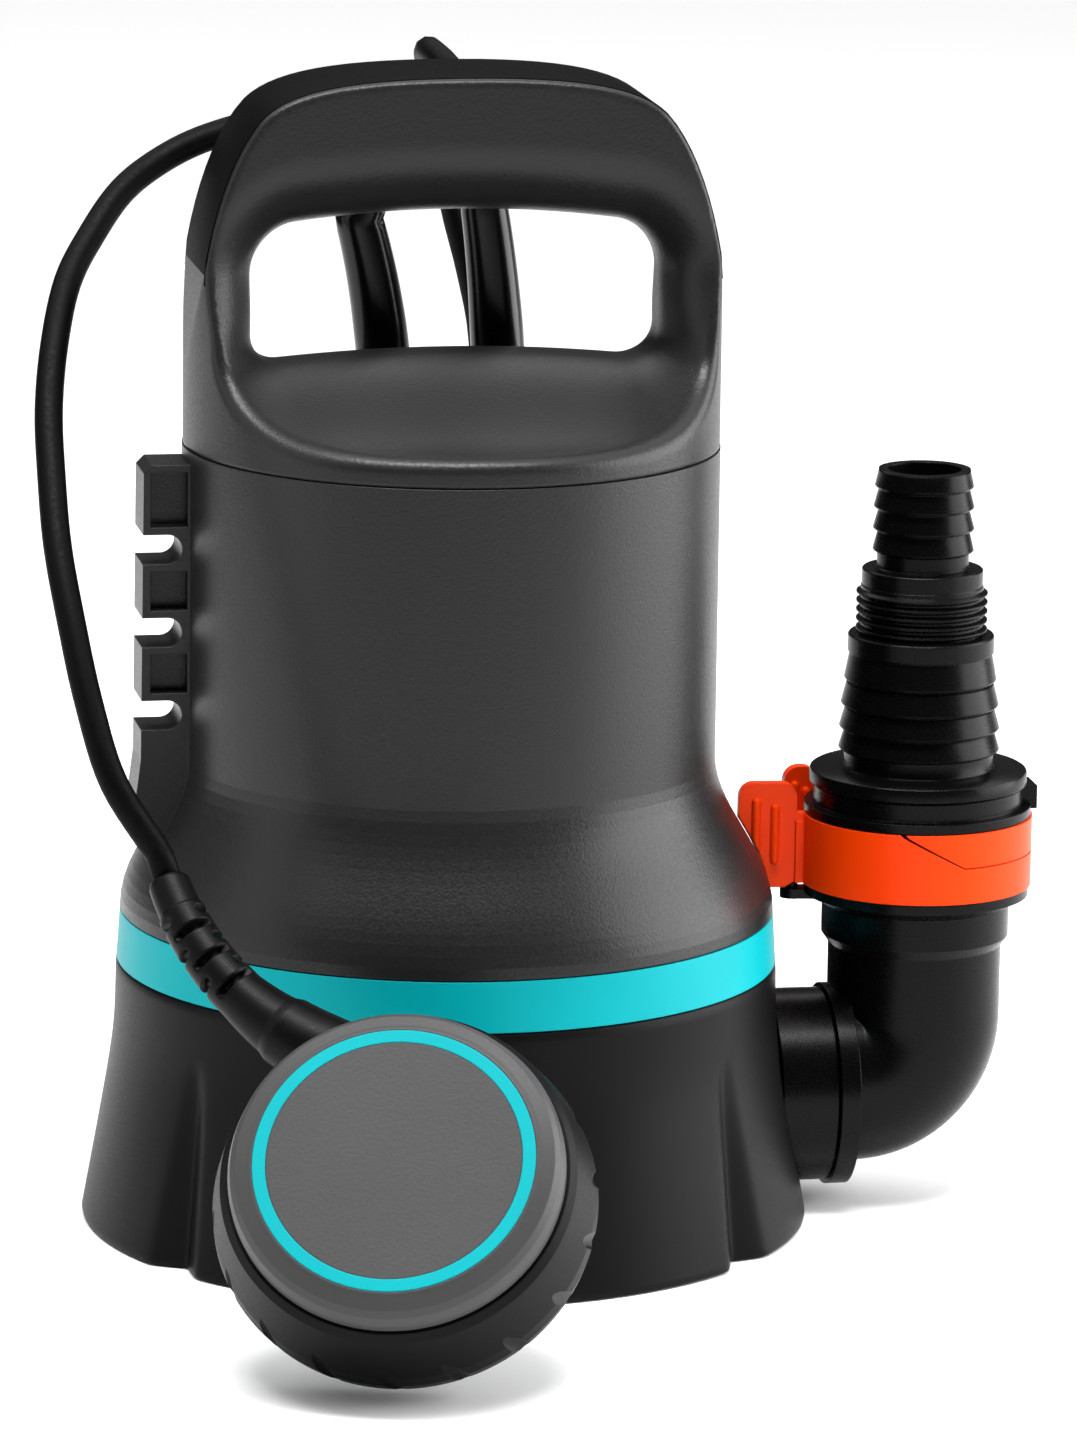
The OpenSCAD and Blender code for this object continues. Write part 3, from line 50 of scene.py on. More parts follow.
# ---------------------------------------------------------------- Camera
# A long lens that stands to the front left of the pump and a little above it,
# and looks slightly past the pump's right side.
def to_scene(name, data):
    """Puts an object with this data in the scene."""
    made = bpy.data.objects.new(name, data)
    bpy.context.scene.collection.objects.link(made)
    return made


camera_at = (-0.3237, -1.9342, 0.5448)
camera_turn, camera_tilt, camera_roll = -10.16, 78, 0.73
camera = to_scene("camera", bpy.data.cameras.new("camera"))
camera.data.lens = 201.4
camera.data.sensor_width = 36
camera.data.clip_end = 20
aim = (Matrix.Rotation(radians(camera_turn), 3, "Z")
       @ Matrix.Rotation(radians(camera_tilt), 3, "X")
       @ Matrix.Rotation(radians(camera_roll), 3, "Z"))
camera.matrix_world = Matrix.Translation(camera_at) @ aim.to_4x4()
bpy.context.scene.camera = camera


# ---------------------------------------------------------------- Rubber cords
# The mains lead and the float's cord are H07RN-F, 7 mm over an extruded chloroprene sheath.
# They come up out of boots behind the handle. The spare length of the mains lead is wound
# into a coil behind the pump, tied with a strap of the same rubber.
def linear(code):
    """sRGB hex to linear RGBA."""
    parts = [int(code[i:i + 2], 16) / 255 for i in (1, 3, 5)]
    return [p / 12.92 if p < 0.04045 else ((p + 0.055) / 1.055) ** 2.4 for p in parts] + [1]


def add(tree, kind, links=None, **settings):
    """Adds a node. Settings are its properties or its inputs' values; links name its inputs."""
    made = tree.nodes.new("ShaderNode" + kind)
    for key, value in settings.items():
        if key in made.bl_rna.properties:
            setattr(made, key, value)
        else:
            made.inputs[key.replace("_", " ")].default_value = value
    for key, socket in (links or {}).items():
        tree.links.new(socket, made.inputs[key])
    return made


def material(name):
    """An empty material and its node tree."""
    made = bpy.data.materials.new(name)
    made.use_nodes = True
    made.node_tree.nodes.clear()
    return made, made.node_tree


def dress(piece, finish):
    """Gives a piece one material."""
    piece.data.materials.clear()
    piece.data.materials.append(finish)


# The die leaves the sheath dull, with a gloss that is uneven in patches of about 1 mm.
# The real marks are finer, and are drawn this coarse to show.
sheath, tree = material("extruded_chloroprene_rubber")
place = add(tree, "TexCoord")
marks = add(tree, "TexNoise", {"Vector": place.outputs["Object"]}, Scale=900, Detail=3)
gloss = add(tree, "MapRange", {"Value": marks.outputs["Fac"]}, From_Min=0.3, From_Max=0.7,
            To_Min=0.42, To_Max=0.6)
bump = add(tree, "Bump", {"Height": marks.outputs["Fac"]}, Strength=0.25, Distance=0.00006)
shader = add(tree, "BsdfPrincipled", {"Roughness": gloss.outputs["Result"],
                                      "Normal": bump.outputs["Normal"]},
             Base_Color=linear("#030303"), IOR=1.5, Specular_IOR_Level=0.06)
add(tree, "OutputMaterial", {"Surface": shader.outputs["BSDF"]})


def smooth(points, steps):
    """A line through the points, straight in its first and last stretch."""
    p = [Vector(q) for q in points]
    line = [p[0]]
    for i in range(1, len(p) - 2):
        a, b, c, d = p[i - 1:i + 3]
        for k in range(steps):
            t = k / steps
            line.append(0.5 * (2 * b + (c - a) * t + (2 * a - 5 * b + 4 * c - d) * t * t
                               + (3 * b - a - 3 * c + d) * t ** 3))
    return line + p[-2:]


def ramp(t):
    """0 below 0, 1 above 1, smooth between."""
    t = min(max(t, 0), 1)
    return t * t * (3 - 2 * t)


def length_of(line):
    return sum((b - a).length for a, b in zip(line, line[1:]))


# Each cord comes out of the deck at its boot's foot and leans a little to the left
lead_d, seam_z, boot_l = 7, 197.2, 44
mains_foot, float_foot = Vector((19.2, 42.5, seam_z + 8)), Vector((-9.5, 46, seam_z + 8))
mains_way = Vector((sin(radians(-5.4)), 0, cos(radians(-5.4))))
float_way = Vector((sin(radians(-10)), 0, cos(radians(-10))))
mains_exit = mains_foot + boot_l * mains_way
float_exit = Vector((-8, 46, seam_z + 8)) + boot_l * float_way

# The coil has four layers. Its loops step one cord over at each turn, and one layer down or
# up at the ends.
coil_at, coil_r, coil_from, coil_turns, layers = Vector((31.5, 191)), 61, -69.5, 23.25, 4
pitch, tie_t, tie_gap = 7.5, 1.2, 0.3
layer_turns = coil_turns / layers
coil_low = tie_t + tie_gap + lead_d / 2


def coil_point(a):
    """Middle of the cord after a degrees of winding."""
    q = a / 360 / layer_turns
    k = floor(q)
    side = 0.5 - (q - k) if k % 2 == 0 else (q - k) - 0.5
    r = coil_r + layer_turns * pitch * side
    drop = sum(ramp((a - 360 * n * layer_turns + 90) / 180) for n in range(1, layers))
    turn = radians(coil_from + a)
    return Vector((coil_at.x + r * cos(turn), coil_at.y + r * sin(turn),
                   coil_low + (layers - 1 - drop) * pitch))


def coil_way(a):
    return Vector((-sin(radians(coil_from + a)), cos(radians(coil_from + a)), 0))


coil_last, coil_step = 360 * coil_turns - 0.001, 7.5
coil_start = coil_point(0) - lead_d * coil_way(0)
coil_finish = coil_point(coil_last) + lead_d * coil_way(coil_last)
down = smooth(
    [mains_exit, mains_exit + lead_d * mains_way,
     (12, 47, 270), (9, 58, 281.5), (6, 74, 285.5), (8, 91, 281.5), (12, 104, 271),
     (16, 110, 256), (18.5, 112, 240), (23, 111, 222), (26, 109, 204), (26, 105, 175),
     (24, 101, 130), (22, 98, 85), (21, 98, 57), (23, 99.3, 41.5), (32, 103, 31.3),
     coil_start - lead_d * coil_way(0), coil_start], 4)
loops = ([coil_point(coil_step * i) for i in range(int(coil_last / coil_step) + 1)]
         + [coil_point(coil_last)])
lead_l, plug_z = 48, 19.5
rise = [(0, 0), (1, 0), (2, 0.08), (3.4, 0.5), (4.8, 0.92), (5.8, 1), (6.8, 1)]
to_plug = smooth([Vector((coil_finish.x, coil_finish.y, 0))
                  + x * lead_l / rise[-1][0] * coil_way(coil_last)
                  + Vector((0, 0, coil_low + y * (plug_z - coil_low))) for x, y in rise], 4)
mains_line = [q * MM for q in down + loops + to_plug]

mains_curve = bpy.data.curves.new("mains_lead", "CURVE")
mains_curve.dimensions = "3D"
mains_curve.bevel_depth = lead_d * MM / 2
mains_curve.bevel_resolution = 3
mains_curve.use_fill_caps = True
spline = mains_curve.splines.new("POLY")
spline.points.add(len(mains_line) - 1)
for q, point in zip(mains_line, spline.points):
    point.co = (*q, 1)
mains_lead = to_scene("mains_lead", mains_curve)
mains_curve.materials.append(sheath)
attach(mains_lead, "pump")
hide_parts("mains_cord", "mains_coil", "mains_cord_end")


def from_bmesh(name, mesh):
    """Turns a finished bmesh into an object."""
    data = bpy.data.meshes.new(name)
    mesh.to_mesh(data)
    mesh.free()
    return to_scene(name, data)


def bridge(mesh, rings, is_smooth=lambda j: True):
    """Faces between each ring of points and the next."""
    for low, high in zip(rings, rings[1:]):
        for j in range(len(low)):
            k = (j + 1) % len(low)
            mesh.faces.new((low[j], low[k], high[k], high[j])).smooth = is_smooth(j)


def tube(name, line, radius, sides, first):
    """A closed mesh tube along a line, with a radius for each of its points and sides."""
    mesh = bmesh.new()
    side = Vector(first)
    rings = []
    for i, q in enumerate(line):
        way = (line[min(i + 1, len(line) - 1)] - line[max(i - 1, 0)]).normalized()
        side = (side - side.dot(way) * way).normalized()
        other = way.cross(side)
        rings.append([mesh.verts.new(q + radius(i, j) * (cos(2 * pi * j / sides) * side
                                                         + sin(2 * pi * j / sides) * other))
                      for j in range(sides)])
    bridge(mesh, rings)
    mesh.faces.new(rings[0][::-1])
    mesh.faces.new(rings[-1])
    return from_bmesh(name, mesh)


# The float's cord loops out to the left and hangs down to the float
float_line = [q * MM for q in smooth(
    [float_exit, float_exit + lead_d * float_way,
     (-22, 48, 262), (-29, 49, 268), (-40, 48, 271), (-55, 45, 268), (-67, 42, 263),
     (-78, 36, 256), (-87, 27, 246), (-94, 17, 236), (-99, 2, 223), (-102, -12, 209),
     (-102.85, -25, 195), (-102.85, -38, 180), (-101, -50, 164), (-98, -61, 146),
     (-93, -70, 128), (-82.307, -73.727, 110.715), (-80.912, -78.403, 105.696)], 6)]
float_lead = tube("float_lead", float_line, lambda i, j: lead_d * MM / 2, 24, (0, 1, 0))
dress(float_lead, sheath)
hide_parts("float_cord")
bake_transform(float_lead)

dress(nodes["coil_tie"], sheath)


# ---------------------------------------------------------------- Foot
# The foot is a fluted skirt, injection moulded in black polypropylene. Its plate carries the
# pump, its spigot centres the housing, and four screws from below hold the two together.
def moulded(name, colour, grain, rough, speck=0.15, shine=0.25, depth=0.06):
    """Moulded plastic or rubber, with its mould's grain in mm and clouds of lighter tone."""
    made, tree = material(name)
    place = add(tree, "TexCoord")
    pits = add(tree, "TexNoise", {"Vector": place.outputs["Object"]},
               Scale=1000 / grain, Detail=2)
    cloud = add(tree, "TexNoise", {"Vector": place.outputs["Object"]}, Scale=24, Detail=4)
    tone = add(tree, "MapRange", {"Value": cloud.outputs["Fac"]}, From_Min=0.35, From_Max=0.65,
               To_Min=1 - speck, To_Max=1 + speck)
    tint = add(tree, "VectorMath", {"Scale": tone.outputs["Result"]}, operation="SCALE")
    tint.inputs[0].default_value = linear(colour)[:3]
    gloss = add(tree, "MapRange", {"Value": pits.outputs["Fac"]}, From_Min=0.3, From_Max=0.7,
                To_Min=rough - 0.06, To_Max=rough + 0.06)
    edge = add(tree, "Bevel", Radius=0.5 * MM)
    bump = add(tree, "Bump", {"Height": pits.outputs["Fac"], "Normal": edge.outputs["Normal"]},
               Strength=0.5, Distance=grain * MM * depth)
    shader = add(tree, "BsdfPrincipled", {"Base Color": tint.outputs["Vector"],
                                          "Roughness": gloss.outputs["Result"],
                                          "Normal": bump.outputs["Normal"]},
                 IOR=1.49, Specular_IOR_Level=shine)
    add(tree, "OutputMaterial", {"Surface": shader.outputs["BSDF"]})
    return made


# Matt from a fine blasted mould, so that only broad soft lights show on it
foot_plastic = moulded("moulded_black_polypropylene", "#070708", 0.5, 0.42, 0.15, 0.08)

foot_h, rim_r, waist_r, foot_wall, lip_r = 66, 91.8, 83, 3.2, 0.9
kink_z, kink_soft = 48, 9
flute_count, flute_at, flute_h, flute_depth = 7, -95, 52, 5.2
flute_half, flute_tip, flute_soft, flute_edge, flute_reach = 8, 2.5, 0.6, 1.4, 4


def foot_radius(z):
    """Straight under the band, then flared, with a soft kink between."""
    t = kink_z - z
    bent = 0.5 * (t + (t * t + kink_soft ** 2) ** 0.5)
    bent_low = 0.5 * (kink_z + (kink_z ** 2 + kink_soft ** 2) ** 0.5)
    return waist_r + (rim_r - waist_r) * bent / bent_low


def flute(turn, z):
    """Depth of the V-shaped valleys, which widen and deepen towards the floor."""
    nearest = (turn - flute_at + 180 / flute_count) % (360 / flute_count) - 180 / flute_count
    across = radians(nearest) * foot_radius(z)
    grow = max(0, min(1, (flute_h - z) / flute_h))
    half = flute_tip + (flute_half - flute_tip) * grow
    wall = half - (across * across + flute_soft ** 2) ** 0.5 + flute_soft
    sunk = (0.5 * (wall + (wall * wall + flute_edge) ** 0.5)
            - 0.5 * (-flute_reach + (flute_reach ** 2 + flute_edge) ** 0.5))
    return flute_depth * grow ** 0.8 * max(0, sunk) / half


# Its section, from the floor up the outside and down the inside: what the radius follows,
# how far it stands off that, and the height
spigot_r, spigot_wall, spigot_h, plate_t, carrier_r = waist_r - 4.4, 2.6, 17, 4.8, 60.3
wall_z = [1, 2, 3.5] + [5 + 1.5 * i for i in range(40)]
outside = ([("wall", -lip_r, 0.02), ("wall", -0.3, 0.3), ("wall", 0, 1)]
           + [("wall", 0, z) for z in wall_z if z < foot_h - 0.8]
           + [("wall", -0.1, foot_h - 0.4), ("wall", -0.4, foot_h)])
inside = ([("spigot", 0, foot_h), ("spigot", 0, foot_h + spigot_h),
           ("spigot", -spigot_wall, foot_h + spigot_h), ("spigot", -spigot_wall, foot_h),
           ("carrier", 0, foot_h), ("carrier", 0, foot_h - plate_t),
           ("lining", -foot_wall, foot_h - plate_t)]
          + [("lining", -foot_wall, z) for z in wall_z[::-2] if z < foot_h - plate_t - 1]
          + [("lining", -foot_wall, 0.02)])
foot_steps = 720
mesh = bmesh.new()
columns = []
for i in range(foot_steps):
    turn = 360 * i / foot_steps
    column = []
    for follows, off, z in outside + inside:
        wall_r = foot_radius(z) - flute(turn, z)
        r = off + {"spigot": spigot_r, "carrier": carrier_r}.get(follows, wall_r)
        if follows == "lining" and z > foot_h - plate_t - 4:
            r = min(r, spigot_r - spigot_wall)
        column.append(mesh.verts.new((r * cos(radians(turn)) * MM, r * sin(radians(turn)) * MM,
                                      z * MM)))
    columns.append(column)
bridge(mesh, columns + columns[:1])
bmesh.ops.recalc_face_normals(mesh, faces=mesh.faces[:])
foot = from_bmesh("foot", mesh)

# Cut through it: the outlet, four screw holes in its plate and five low arches at the rear
outlet_r, outlet_z, screw_r, screw_ring, arch_w, arch_h = 24.9, 29.4, 2.2, waist_r - 16, 16, 4
outlet_at = Matrix.Translation((90, 0, outlet_z)) @ Matrix.Rotation(pi / 2, 4, "Y")
mesh = bmesh.new()
for radius, depth, place in (
        [(outlet_r, 60, outlet_at)]
        + [(screw_r, 9, Matrix.Rotation(radians(45 + 90 * i), 4, "Z")
            @ Matrix.Translation((screw_ring, 0, 63))) for i in range(4)]):
    bmesh.ops.create_cone(mesh, cap_ends=True, segments=96, radius1=radius, radius2=radius,
                          depth=depth, matrix=place)
for i in range(5):
    bmesh.ops.create_cube(mesh, size=1, matrix=Matrix.Rotation(radians(40 + 25 * i), 4, "Z")
                          @ Matrix.Translation((rim_r - 4, 0, 1))
                          @ Matrix.Diagonal((20, arch_w, 2 * (arch_h - 1), 1)))
bmesh.ops.scale(mesh, vec=(MM, MM, MM), verts=mesh.verts[:])
cuts = from_bmesh("foot_cuts", mesh)
cut = foot.modifiers.new("cuts", "BOOLEAN")
cut.object, cut.operation, cut.solver = cuts, "DIFFERENCE", "EXACT"
foot.data = bpy.data.meshes.new_from_object(
    foot.evaluated_get(bpy.context.evaluated_depsgraph_get()))
foot.modifiers.clear()
bpy.data.objects.remove(cuts)
foot.data.set_sharp_from_angle(angle=radians(38))
dress(foot, foot_plastic)
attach(foot, "pump")
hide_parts("suction_foot")

dress(nodes["strainer_plate"], foot_plastic)


# ---------------------------------------------------------------- Trim band
# A turquoise ABS ring, clamped between the foot and the housing. Its colour is moulded
# through, with a satin skin that whitens only at its edges.
band_plastic = moulded("moulded_turquoise_abs", "#00989f", 0.4, 0.42, 0.04, 0.08)
dress(nodes["trim_band"], band_plastic)


# ---------------------------------------------------------------- Motor housing
# A deep ABS can over the motor, with the bracket that the float's cord is hooked into. Its
# mould is spark eroded, which leaves a fine even grain: the sheen breaks up into specks.
housing_plastic = moulded("spark_grained_grey_abs", "#191919", 0.7, 0.36, 0.05, 0.26, 0.2)
dress(nodes["motor_housing"], housing_plastic)


# ---------------------------------------------------------------- Handle cap
# The cap is one ABS moulding with the motor housing's grain. Two round scoops shape its bar
# and deck, and large radii lead into the hand opening. It is screwed on from below.
def round_over(a, b, r):
    """Two outsides that meet in an edge of radius r."""
    return (np.minimum(-r, np.maximum(a, b))
            + np.sqrt(np.maximum(a + r, 0) ** 2 + np.maximum(b + r, 0) ** 2))


def bezier(points, count):
    t = np.linspace(0, 1, count)[:, None]
    a, b, c, d = np.array(points, float)
    return (1 - t) ** 3 * a + 3 * (1 - t) ** 2 * t * b + 3 * (1 - t) * t * t * c + t ** 3 * d


def from_line(line, x, z):
    """Signed distance from a line of points, positive on its right."""
    x, z = np.broadcast_arrays(x, z)
    best = np.full(x.shape, 1e9)
    side = np.zeros(x.shape)
    for (ax, az), (bx, bz) in zip(line, line[1:]):
        ux, uz = bx - ax, bz - az
        t = np.clip(((x - ax) * ux + (z - az) * uz) / (ux * ux + uz * uz), 0, 1)
        dx, dz = x - ax - t * ux, z - az - t * uz
        gap = np.hypot(dx, dz)
        nearer = gap < best
        best = np.where(nearer, gap, best)
        side = np.where(nearer, np.sign(uz * dx - ux * dz), side)
    return best * side


def fall(z, high, low):
    """0 above a height, 1 below a lower one, smooth between."""
    t = np.clip((high - z) / (high - low), 0, 1)
    return t * t * (3 - 2 * t)


def skin(name, form, low, high, step):
    """A mesh of the surface where a form's signed distance, in mm, is zero."""
    axes = [np.arange(a - 2 * step, b + 2.5 * step, step) for a, b in zip(low, high)]
    count = [len(a) for a in axes]
    value = np.broadcast_to(form(*np.meshgrid(*axes, indexing="ij", sparse=True)), count)
    is_in = value < 0
    near = sum(is_in[i:count[0] - 1 + i, j:count[1] - 1 + j, k:count[2] - 1 + k].astype(int)
               for i in (0, 1) for j in (0, 1) for k in (0, 1))
    cells = np.argwhere((near > 0) & (near < 8))
    number = np.full(near.shape, -1)
    number[tuple(cells.T)] = np.arange(len(cells))
    middle = np.array([a[0] for a in axes]) + (cells + 0.5) * step
    point = middle.copy()
    small = 0.02

    def settle(point):
        """Moves the points onto the surface."""
        slope = np.stack([(form(*(point + e).T) - form(*(point - e).T)) / (2 * small)
                          for e in small * np.eye(3)], axis=1)
        return point - (form(*point.T) / np.maximum((slope ** 2).sum(1), 0.2))[:, None] * slope

    for _ in range(5):
        point = np.clip(settle(point), middle - 0.8 * step, middle + 0.8 * step)
    quads = []
    for axis in range(3):
        a, b = (axis + 1) % 3, (axis + 2) % 3
        ahead = np.moveaxis(is_in, axis, 0)
        crossed = np.moveaxis(ahead[1:] != ahead[:-1], 0, axis)
        at = np.argwhere(crossed)
        at = at[(at[:, a] > 0) & (at[:, b] > 0)
                & (at[:, a] < count[a] - 1) & (at[:, b] < count[b] - 1)]
        leaves = is_in[tuple(at.T)]
        ring = []
        for da, db in ((-1, -1), (0, -1), (0, 0), (-1, 0)):
            cell = at.copy()
            cell[:, a] += da
            cell[:, b] += db
            ring.append(number[tuple(cell.T)])
        ring = np.stack(ring, axis=1)
        ring[~leaves] = ring[~leaves][:, ::-1]
        quads.append(ring)
    quads = np.concatenate(quads)

    # Even out the spacing of the points, so that the faces shade smoothly
    for _ in range(3):
        total, links = np.zeros(point.shape), np.zeros(len(point))
        for k in range(4):
            for beside in (quads[:, k - 1], quads[:, k - 3]):
                np.add.at(total, quads[:, k], point[beside])
                np.add.at(links, quads[:, k], 1)
        point = settle(settle(0.5 * point + 0.5 * total / links[:, None]))
    data = bpy.data.meshes.new(name)
    data.from_pydata((point * MM).tolist(), [], quads.tolist())
    data.polygons.foreach_set("use_smooth", [True] * len(data.polygons))
    return to_scene(name, data)


def trim(piece, height):
    """Cuts off what is below a level, in mm, and closes the piece there."""
    mesh = bmesh.new()
    mesh.from_mesh(piece.data)
    bmesh.ops.bisect_plane(mesh, geom=mesh.verts[:] + mesh.edges[:] + mesh.faces[:],
                           plane_co=(0, 0, height * MM), plane_no=(0, 0, 1), dist=1e-6,
                           clear_inner=True)
    edges = [e for e in mesh.edges if len(e.link_faces) == 1]
    bmesh.ops.triangle_fill(mesh, edges=edges, use_beauty=True)
    bmesh.ops.recalc_face_normals(mesh, faces=mesh.faces[:])
    mesh.to_mesh(piece.data)
    mesh.free()


cap_r, top_z, cap_wall, seam_gap = 66.8, 290.7, 3, 0.35
scoop_r, scoop_y, scoop_z = 44, 64, 250
grip_w, grip_low, grip_high = 102.6, seam_z + 23.2, top_z - 34.6
arch_bend, deck_bend, arch_corner, deck_corner = 300, 410, 11, 9
edge_r, low_edge_r, grip_r, deck_r = 1.3, 4.6, 19, 24
strap_recess, boot_hole_r = 0.35, 7
shoulder = (cap_r - 15.4, top_z - 10.8)
side_line = bezier([(cap_r, seam_z + 17.8), (cap_r, seam_z + 44), (cap_r - 5, top_z - 24),
                    shoulder], 30)
crown_line = bezier([shoulder, (cap_r - 21.5, top_z - 3), (30, top_z), (0, top_z)], 30)
cap_line = np.concatenate([[(cap_r, seam_z - 30)], side_line, crown_line[1:], [(-20, top_z)]])


def scoop(y, z, r):
    """Negative inside the bar: upright faces that curve out onto the deck."""
    y = np.abs(y)
    return np.where(z > scoop_z, y - scoop_y + r, r - np.hypot(y - scoop_y, z - scoop_z))


def grip_hole(x, z):
    """Negative inside the hand opening."""
    arch = np.hypot(x, z - grip_high + arch_bend) - arch_bend
    deck = deck_bend - np.hypot(x, z - grip_low + deck_bend)
    hole = round_over(np.abs(x) - grip_w / 2, arch, arch_corner)
    return round_over(hole, deck, deck_corner)


def cap_form(x, y, z):
    """Negative inside the cap: its wall, rounded into the bar, less the hollow and holes."""
    under_strap = strap_recess * (1 - fall(z, seam_z + 40, seam_z + 18))
    wall = np.maximum(from_line(cap_line, np.abs(x), z) + under_strap, np.hypot(x, y) - cap_r)
    bar = round_over(scoop(y, z, scoop_r), -grip_hole(x, z),
                     grip_r + (deck_r - grip_r) * fall(z, grip_low + 14, grip_low - 2))
    solid = round_over(wall, bar,
                       edge_r + (low_edge_r - edge_r) * fall(z, seam_z + 36, seam_z + 16))
    hollow = np.maximum(np.maximum(np.hypot(x, y) - cap_r + cap_wall, z - grip_low + cap_wall),
                        solid + cap_wall)
    for at, lean in ((mains_foot, mains_way), (float_foot, float_way)):
        t = (z - at.z) / lean.z
        solid = np.maximum(solid, np.where(z > seam_z + 2, boot_hole_r, 0)
                           - np.hypot(x - at.x - t * lean.x, y - at.y))
    return np.maximum(solid, -hollow)


cap = skin("cap", cap_form, (-cap_r, -cap_r, seam_z - 3), (cap_r, cap_r, top_z), 1.15)
trim(cap, seam_z + seam_gap)
dress(cap, housing_plastic)
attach(cap, "pump")
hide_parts("handle_cap")


# ---------------------------------------------------------------- Grip strap
# A band of soft black elastomer, moulded over the handle's outer side from shoulder to
# shoulder. It stands a little proud, with a thin rounded lip along both edges.
strap_w, strap_low, strap_t, strap_lip, sunk_end, end_l = 36, seam_z + 43, 1.5, 0.35, 0.5, 6
outline = np.concatenate([side_line[::2], crown_line[2::2]])
outline = outline[outline[:, 1] > strap_low + 0.5]
outline = np.concatenate([[(np.interp(strap_low, side_line[:, 1], side_line[:, 0]), strap_low)],
                          outline])
strap_path = np.concatenate([outline * (-1, 1), outline[-2::-1]])
lip_turns = (0, pi / 8, pi / 4, 3 * pi / 8, pi / 2)
lip = [(strap_lip * (1 - cos(a)), -strap_lip * (1 - sin(a))) for a in lip_turns]
section = ([(-strap_w / 2, -strap_t)]
           + [(-strap_w / 2 + inward, h) for inward, h in lip]
           + [(strap_w / 2 - inward, h) for inward, h in lip[::-1]]
           + [(strap_w / 2, -strap_t)])
mesh = bmesh.new()
rings = []
walked = np.concatenate([[0], np.cumsum(np.hypot(*np.diff(strap_path, axis=0).T))])
for i, (x, z) in enumerate(strap_path):
    a = strap_path[max(i - 1, 0)]
    b = strap_path[min(i + 1, len(strap_path) - 1)]
    out = Vector((-(b[1] - a[1]), b[0] - a[0])).normalized()
    sunk = sunk_end * fall(min(walked[i], walked[-1] - walked[i]), end_l, 0)
    rings.append([mesh.verts.new(((x + out.x * (h - sunk)) * MM, y * MM,
                                  (z + out.y * (h - sunk)) * MM)) for y, h in section])
bridge(mesh, rings, lambda j: 0 < j < len(section) - 1)
mesh.faces.new(rings[0][::-1])
mesh.faces.new(rings[-1])
bmesh.ops.recalc_face_normals(mesh, faces=mesh.faces[:])
strap = from_bmesh("strap", mesh)

# Soft touch and dead matt: it drinks the light beside the grained cap
grip_rubber = moulded("soft_grip_elastomer", "#020202", 0.5, 0.55, 0.15, 0.04)
dress(strap, grip_rubber)
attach(strap, "pump")
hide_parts("grip_strap")


# ---------------------------------------------------------------- Pump and elbow
# The volute with its outlet stub, the impeller, and the elbow that screws onto the stub are
# moulded in glass-filled nylon, and so is the float switch's small lever.
# Polished tools give it narrow bright lights along its curves, on a deep black.
black_plastic = moulded("glass_filled_black_nylon", "#040404", 0.4, 0.28, 0.15, 0.1)
for name in ("elbow", "volute", "volute_cover", "impeller", "switch_lever"):
    dress(nodes[name], black_plastic)


# ---------------------------------------------------------------- Hose nozzle
# One black nylon moulding, smooth below where it seals, with a G1 thread and two sizes of
# hose tail. A barb flares downwards and steps back in under its edge.
nozzle_x, nozzle_low, flange_z, root_z, nozzle_top = 120.9, 80.6, 107.4, 111.6, 188.1
seal_r, flange_r, groove_r, wide_neck, slim_neck, slim_bore, wide_bore = (
    20, 27.6, 17.8, 18.9, 11.6, 9.3, 15)
crest, root, thread_z, thread_pitch, thread_turns = 16.62, 15.5, 146.5, 2.31, 5


def barb_rows(rows):
    """Outline of barbs from the lowest up: height of the edge, its radius, neck, and top."""
    return [q for z, r, neck, top in rows
            for q in ((neck, z - 0.5), (r - 0.25, z - 0.12), (r, z + 0.2),
                      (neck + 0.15, top - 0.6))]


seat = [(wide_neck, nozzle_low), (seal_r, nozzle_low + 1), (seal_r, 84.65), (groove_r, 84.65),
        (groove_r, 90.55), (seal_r, 90.55), (seal_r, flange_z - 0.2), (20.4, flange_z)]
flange = [(27, flange_z), (flange_r, flange_z + 0.5), (flange_r, root_z - 1),
          (27.4, root_z - 0.5), (27, root_z - 0.25), (20.6, root_z), (19.2, root_z + 0.3),
          (wide_neck, root_z + 1.2)]
wide_tail = (barb_rows([(116.4, 20.4, 18.9, 121.6), (121.9, 20.3, 18.8, 127.6),
                        (127.9, 20.0, 18.5, 134), (134.4, 19.3, 18.0, 141.2)])
             + [(18.0, 141.2), (18.5, 141.5), (18.5, 145.6), (18.2, 146)])
thread = ([(root, 146.3)]
          + [(r, thread_z + thread_pitch * i + up) for i in range(thread_turns)
             for r, up in ((root, 0), (crest, 0.7), (crest, 1.1), (root, 1.8))]
          + [(root, 158.4), (15.3, 158.6), (15.3, 162.5), (15, 162.8), (12, 163)])
slim_tail = ([(slim_neck, 163.3)]
             + barb_rows([(167.4, 12.8, 11.6, 172.4), (172.9, 12.8, 11.5, 177.9),
                          (178.4, 12.7, 11.5, 183.2), (183.7, 12.5, 11.5, 188.2)])
             + [(slim_neck, 188.2), (slim_neck, nozzle_top - 0.4), (11.2, nozzle_top)])
bore = [(slim_bore, nozzle_top), (slim_bore, 147), (wide_bore, 139), (wide_bore, nozzle_low)]


def turned(name, line, steps, x):
    """A closed ring turned about an upright axis at x from its whole outline in mm."""
    rings = []
    mesh = bmesh.new()
    for i in range(steps):
        a = 2 * pi * i / steps
        rings.append([mesh.verts.new(((x + r * cos(a)) * MM, r * sin(a) * MM, z * MM))
                      for r, z in line])
    bridge(mesh, rings + rings[:1])
    bmesh.ops.recalc_face_normals(mesh, faces=mesh.faces[:])
    made = from_bmesh(name, mesh)
    made.data.set_sharp_from_angle(angle=radians(32))
    return made


